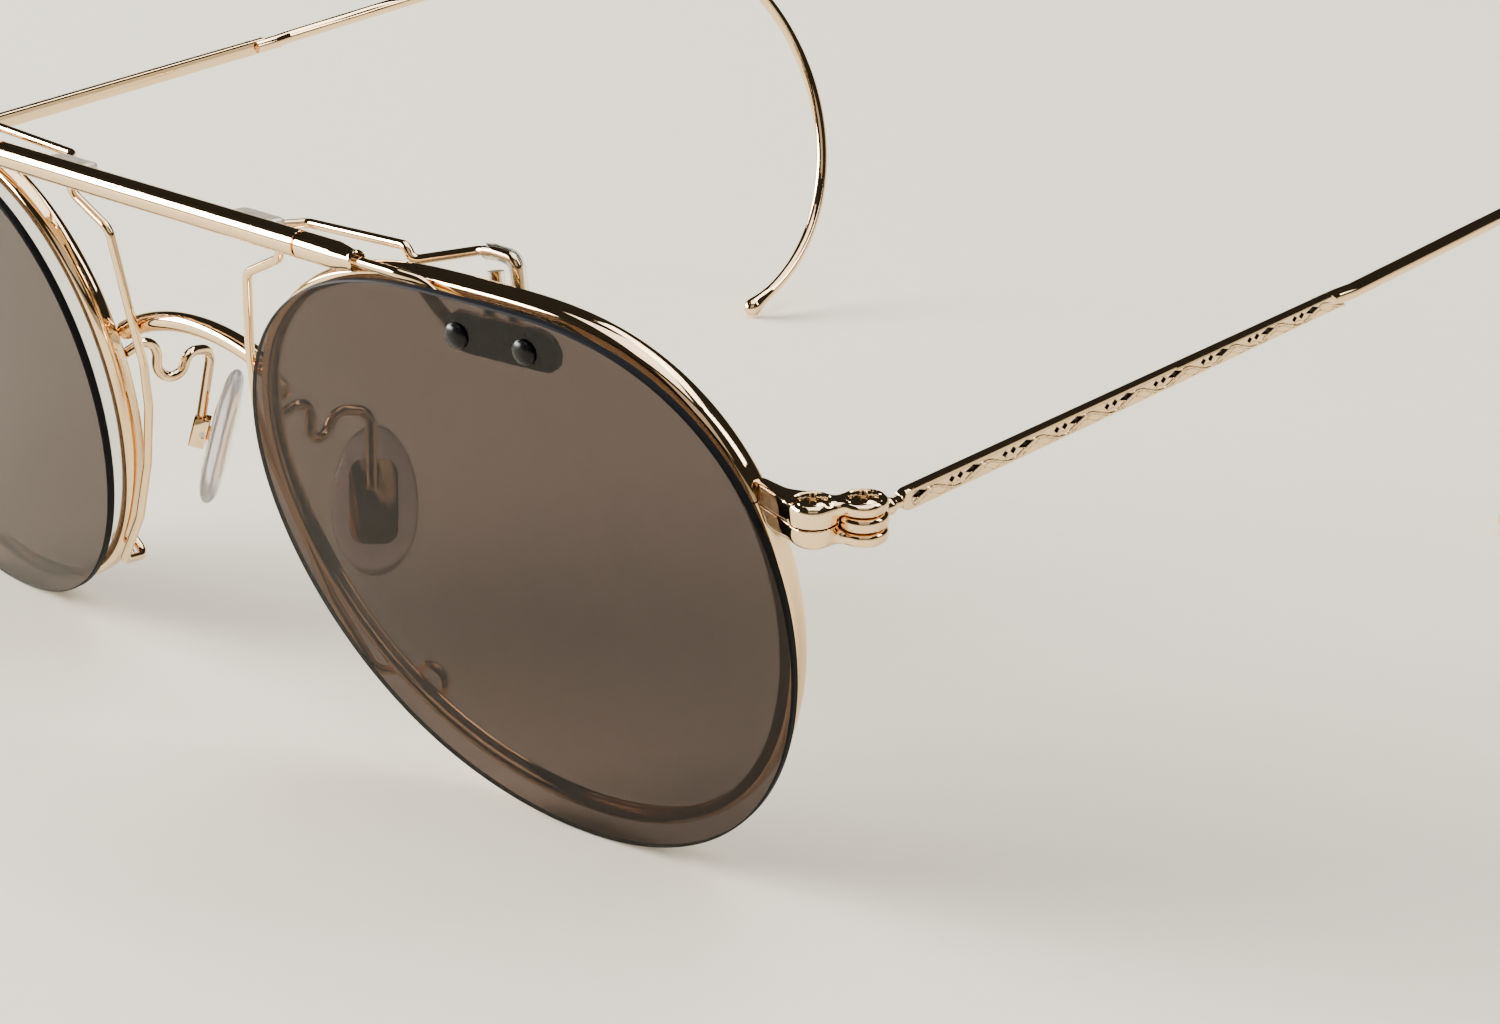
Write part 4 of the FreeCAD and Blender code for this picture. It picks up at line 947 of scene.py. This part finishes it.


# The bar's shell, the painted shade of its spots, and how many spots go round it
def templeBar():
    start, end, rows = temple["barStart"], temple["barEnd"], temple["rows"]
    steps = int((end - temple["noseStart"]) / temple["step"])
    archStart = start + temple["archBack"]
    loops, dark = [], []
    for k in range(steps + 1):
        s = temple["noseStart"] + (end - temple["noseStart"]) * k / steps
        along = max(0.0, (s - start) / (end - start))
        tall, thick = [(temple[size][0] * (1 - along) + temple[size][1] * along) / 2
                       for size in ("height", "thickness")]
        nose = max(0.0, start - s)
        high = math.sqrt(max(tall * tall - nose * nose, temple["noseBlunt"]))
        low = -high
        if s > temple["cutStart"]:
            high -= (s - temple["cutStart"]) / (end - temple["cutStart"]) * (2 * tall - temple["cutEnd"])
        ease = min(temple["ease"], (high - low) / 4)
        fade = clamp((s - start + temple["fadeLead"]) / temple["fade"])
        loop = []
        for r in range(rows + 1):
            z = low + ease + (high - low - 2 * ease) * r / rows
            # The arch is a shallow groove round the panel's front end, with painted shade along it
            arch = 0.0
            if s < archStart:
                away = abs(math.hypot(s - archStart, z) - temple["archRadius"])
                arch = max(0.0, 1 - away / temple["archWide"])
            relief, paintedShade = engraving(s, z)
            loop.append((thick + fade * relief - temple["archDeep"] * arch, s, z))
            dark.append(max(fade * paintedShade, temple["archDark"] * arch))
        e = ease * temple["easeShare"]
        corners = ((thick - e, high - e), (thick - ease, high), (ease - thick, high), (e - thick, high - e),
                   (-thick, high - ease), (-thick, low + ease), (e - thick, low + e), (ease - thick, low),
                   (thick - ease, low), (thick - e, low + e))
        loop += [(x, s, z) for x, z in corners]
        dark += [0.0] * len(corners)
        loops.append([hingeFrame @ Vector(p) for p in loop])
    return joinLoops(loops), dark, len(loops[0])


knuckleHalf, knuckleRound = temple["knuckleHeight"] / 2, temple["knuckleRound"]
knuckleProfile = [(-knuckleHalf, temple["hole"])]
for sign, turns in ((-1, range(0, 91, 15)), (1, range(90, -1, -15))):
    knuckleProfile += [(sign * (knuckleHalf - knuckleRound * (1 - math.cos(math.radians(a)))),
                        temple["knuckle"] - knuckleRound * (1 - math.sin(math.radians(a)))) for a in turns]
knuckleProfile.append((knuckleHalf, temple["hole"]))
hingeSpot = hingeFrame.translation
knuckle = turned(knuckleProfile, hingeSpot, hingeTurn @ up, temple["knuckleSteps"], ring=True)
neckRows = [(along, temple["neck"] + rise) for along, rise in temple["neckRows"]]
neck = turned(neckRows, hingeSpot, hingeTurn @ rearward, temple["neckSteps"])
barShape, barDark, barRound = templeBar()
templeVerts, templeFaces = gather(barShape, knuckle, neck)
barDark += [0.0] * (len(templeVerts) - len(barDark))
barSides = len(barShape[1]) - 2
templePicks = [0 if i < barSides and i % barRound < temple["rows"] else 1 for i in range(len(templeFaces))]
# The bar's painted shade goes on as a point attribute that the engraved finish reads
addPair("templeBar", templeVerts, templeFaces, [engravedGold, gold], "temple_bar", "temple_SIDE", "gold",
        templePicks, 30.0, ("paintedShade", barDark))


# Temple wire lapped inside the bar's end, curled for the ear, with its bulb

ear = {"radius": 0.62, "bend": 0.01, "steps": 1, "sides": 28, "length": 44.5, "rise": 5.85, "turnIn": 0.6,
       "lean": 21.2, "sweep": 164.0, "curl": 21.47276, "lap": ((-0.25, -3.0), (-0.22, -0.6)), "lead": 1.2,
       "runSteps": 12, "curlSteps": 96, "tipRadius": 0.97, "tipNose": 1.15, "tipLength": 3.0, "tipSides": 48,
       "tipRows": ((-0.15, -0.32), (-0.1, 0.01), (0.6, 0.04), (1.4, 0.12), (2.2, 0.24)), "tipPole": 0.01}
earTurn = frameAt(Vector(), ("Z", ear["turnIn"]), ("X", ear["rise"])).to_3x3()
heading = earTurn @ rearward
lean, sweep = math.radians(ear["lean"]), math.radians(ear["sweep"])
inward = earTurn @ Vector((-math.sin(lean), 0, -math.cos(lean)))
wireStart = hingeFrame @ (rearward * temple["barEnd"])


def curlSpot(t):
    bend = heading * math.sin(t) + inward * (1 - math.cos(t))
    return wireStart + heading * ear["length"] + bend * ear["curl"]


earSpots = [hingeFrame @ Vector((x, temple["barEnd"] + y, 0)) for x, y in ear["lap"]]
earSpots += [wireStart + heading * (ear["lead"] + (ear["length"] - ear["lead"]) * k / ear["runSteps"])
             for k in range(ear["runSteps"] + 1)]
earSpots += [curlSpot(sweep * k / ear["curlSteps"]) for k in range(1, ear["curlSteps"] + 1)]
addWirePair("templeWire", earSpots, ear, gold, "temple_wire", "temple_SIDE", "gold")

tipHeading = heading * math.cos(sweep) + inward * math.sin(sweep)
tipRows = [(along, ear["radius"] + rise) for along, rise in ear["tipRows"]]
tipRows += [(ear["tipLength"] + ear["tipNose"] * math.sin(math.radians(a)),
             max(ear["tipRadius"] * math.cos(math.radians(a)), ear["tipPole"])) for a in range(-10, 91, 10)]
tipShape = turned(tipRows, curlSpot(sweep), tipHeading, ear["tipSides"])
addPair("earTip", *tipShape, [gold], "ear_tip", "temple_SIDE", "gold")
print("temples made")


# Nose pads: moulded pillow on a metal insert that rocks in the box at the end of the arm

arm = {"radius": 0.42, "bend": 1.3, "steps": 8, "sides": 28, "root": (169.5, -0.55, 2.0),
       "out": 0.9, "back": 7.8, "drop": 8.6, "end": (0.0, -0.485, 1.2),
       "run": ((0.0, 0.44, 0.14), (-0.22, 0.29, -0.49), (-0.67, 0.64, -0.27), (-0.6, 0.72, -0.11),
               (0.21, 1.09, -0.17))}
pad = {"turn": 45.0, "lean": -15.5, "halfWide": 3.4, "halfTall": 5.9, "middle": 1.5, "halfThick": 0.9,
       "edgePower": 6.0, "taper": 0.06, "steps": 72, "rings": 14, "firstRing": 0.4, "ringTrim": 0.6}
padBox = {"ease": 0.08, "easeSteps": 2}
padInsert = {"ease": 0.06, "easeSteps": 2}
armRoot = byRim(*arm["root"])
padFrame = frameAt(armRoot + Vector((arm["out"], arm["back"], -arm["drop"])), ("Z", pad["turn"]),
                   ("X", pad["lean"]))


def padLoops():
    loops = []
    last = pad["rings"] - pad["ringTrim"]
    shares = [math.sin(math.pi / 2 * (r + pad["firstRing"]) / last) for r in range(pad["rings"])]
    turns = [2 * math.pi * k / pad["steps"] for k in range(pad["steps"])]
    for sign in (-1, 1):
        rows = []
        for share in shares:
            y = pad["middle"] + sign * pad["halfThick"] * (1 - min(share, 1.0) ** pad["edgePower"]) ** 0.5
            wide, tall = pad["halfWide"] * share, pad["halfTall"] * share
            rows.append([padFrame @ Vector((wide * math.cos(t) * (1 - pad["taper"] * math.sin(t)), y,
                                            tall * math.sin(t))) for t in turns])
        loops += rows if sign < 0 else rows[::-1][1:]
    return loops


addPair("nosePad", *joinLoops(padLoops()), [padSilicone], "nose_pad", "pad_SIDE", "pad_silicone", sharp=60.0)
armSpots = [armRoot] + [armRoot + Vector((out * arm["out"], back * arm["back"], rise * arm["drop"]))
                        for out, back, rise in arm["run"]]
armSpots.append(padFrame @ Vector(arm["end"]))
addWirePair("padArm", armSpots, arm, gold, "pad_arm", "frame", "gold")
for side in sides:
    easedCopy("pad_box_" + side, "padBox" + side.capitalize(), padBox, gold, "frame", "gold")
    easedCopy("pad_insert_" + side, "padInsert" + side.capitalize(), padInsert, gold, "pad_" + side, "gold")
for node in ("friction_sleeve", "flip_shaft", "pad_pin_left", "pad_pin_right"):
    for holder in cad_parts[node].material_slots:
        holder.material = springSteel
print("nose pads made")


# Pale sweep and studio lights: a low soft key with a grid on the wearer's right, a soft one overhead, two
# strips behind for the rims and a dim one by the camera. Light places and sizes are metres.

studio = {"floor": "#DFD9C7", "fleck": "#DAD4C2", "fleckSize": 3.0, "fleckDetail": 4.0, "gloss": 0.9,
          "shine": 0.1, "rings": (10.0, 200.0, 600.0, 1200.0, 2000.0, 2500.0), "drop": 0.02, "curve": 500.0,
          "steps": 128, "air": "#C9C6C2", "airPower": 0.05}
lights = (("softKey", (-1.56, -1.02, 0.6), (2.0, 0.74), 54.0, "#FFFCF7", 80.0),
          ("softTop", (0.1, 0.1, 2.4), (2.2, 1.8), 48.0, "#FFFFFF", 180.0),
          ("backStrip", (0.1, 0.8, 1.5), (1.7, 0.34), 13.0, "#FFFFFF", 180.0),
          ("sideStrip", (1.06, 0.78, 1.08), (0.3, 0.8), 7.0, "#FFFFFF", 180.0),
          ("dimFill", (1.3, -1.3, 1.3), (1.6, 1.2), 4.0, "#FFF6EC", 180.0))


# Matt paper: dull, with a faint fleck. The floor turns up into a low wall all round.
def paleSweep():
    finish, tree, spot = newFinish("mattPaper")
    look = studio
    tone = toneDrift(tree, spot, look["fleckSize"], look["floor"], look["fleck"], look["fleckDetail"])[1]
    closeFinish(tree, {"Base Color": tone, "Roughness": look["gloss"], "Specular IOR Level": look["shine"]})
    rows = [(-look["drop"], ring) for ring in look["rings"]]
    rows += [(look["curve"] * (1 - math.cos(math.radians(a))),
              look["rings"][-1] + look["curve"] * math.sin(math.radians(a))) for a in range(15, 91, 15)]
    verts, faces = turned(rows, Vector(), up, look["steps"])
    return meshPiece("paleSweep", verts, faces[:-1], [finish], sharp=180.0)


paleSweep()
world = bpy.data.worlds.new("darkStudio")
world.use_nodes = True
air = world.node_tree.nodes["Background"]
air.inputs["Color"].default_value = hexColour(studio["air"])
air.inputs["Strength"].default_value = studio["airPower"]
bpy.context.scene.world = world
for name, spot, size, power, tone, spread in lights:
    light = bpy.data.lights.new(name, "AREA")
    light.shape = "RECTANGLE"
    light.size, light.size_y = size
    light.energy = power
    light.spread = math.radians(spread)
    light.color = hexColour(tone)[:3]
    lamp = bpy.data.objects.new(name, light)
    lamp.location = spot
    lamp.visible_camera = False
    lamp.rotation_euler = (-Vector(spot)).to_track_quat("-Z", "Y").to_euler()
    bpy.context.scene.collection.objects.link(lamp)
print("studio made")
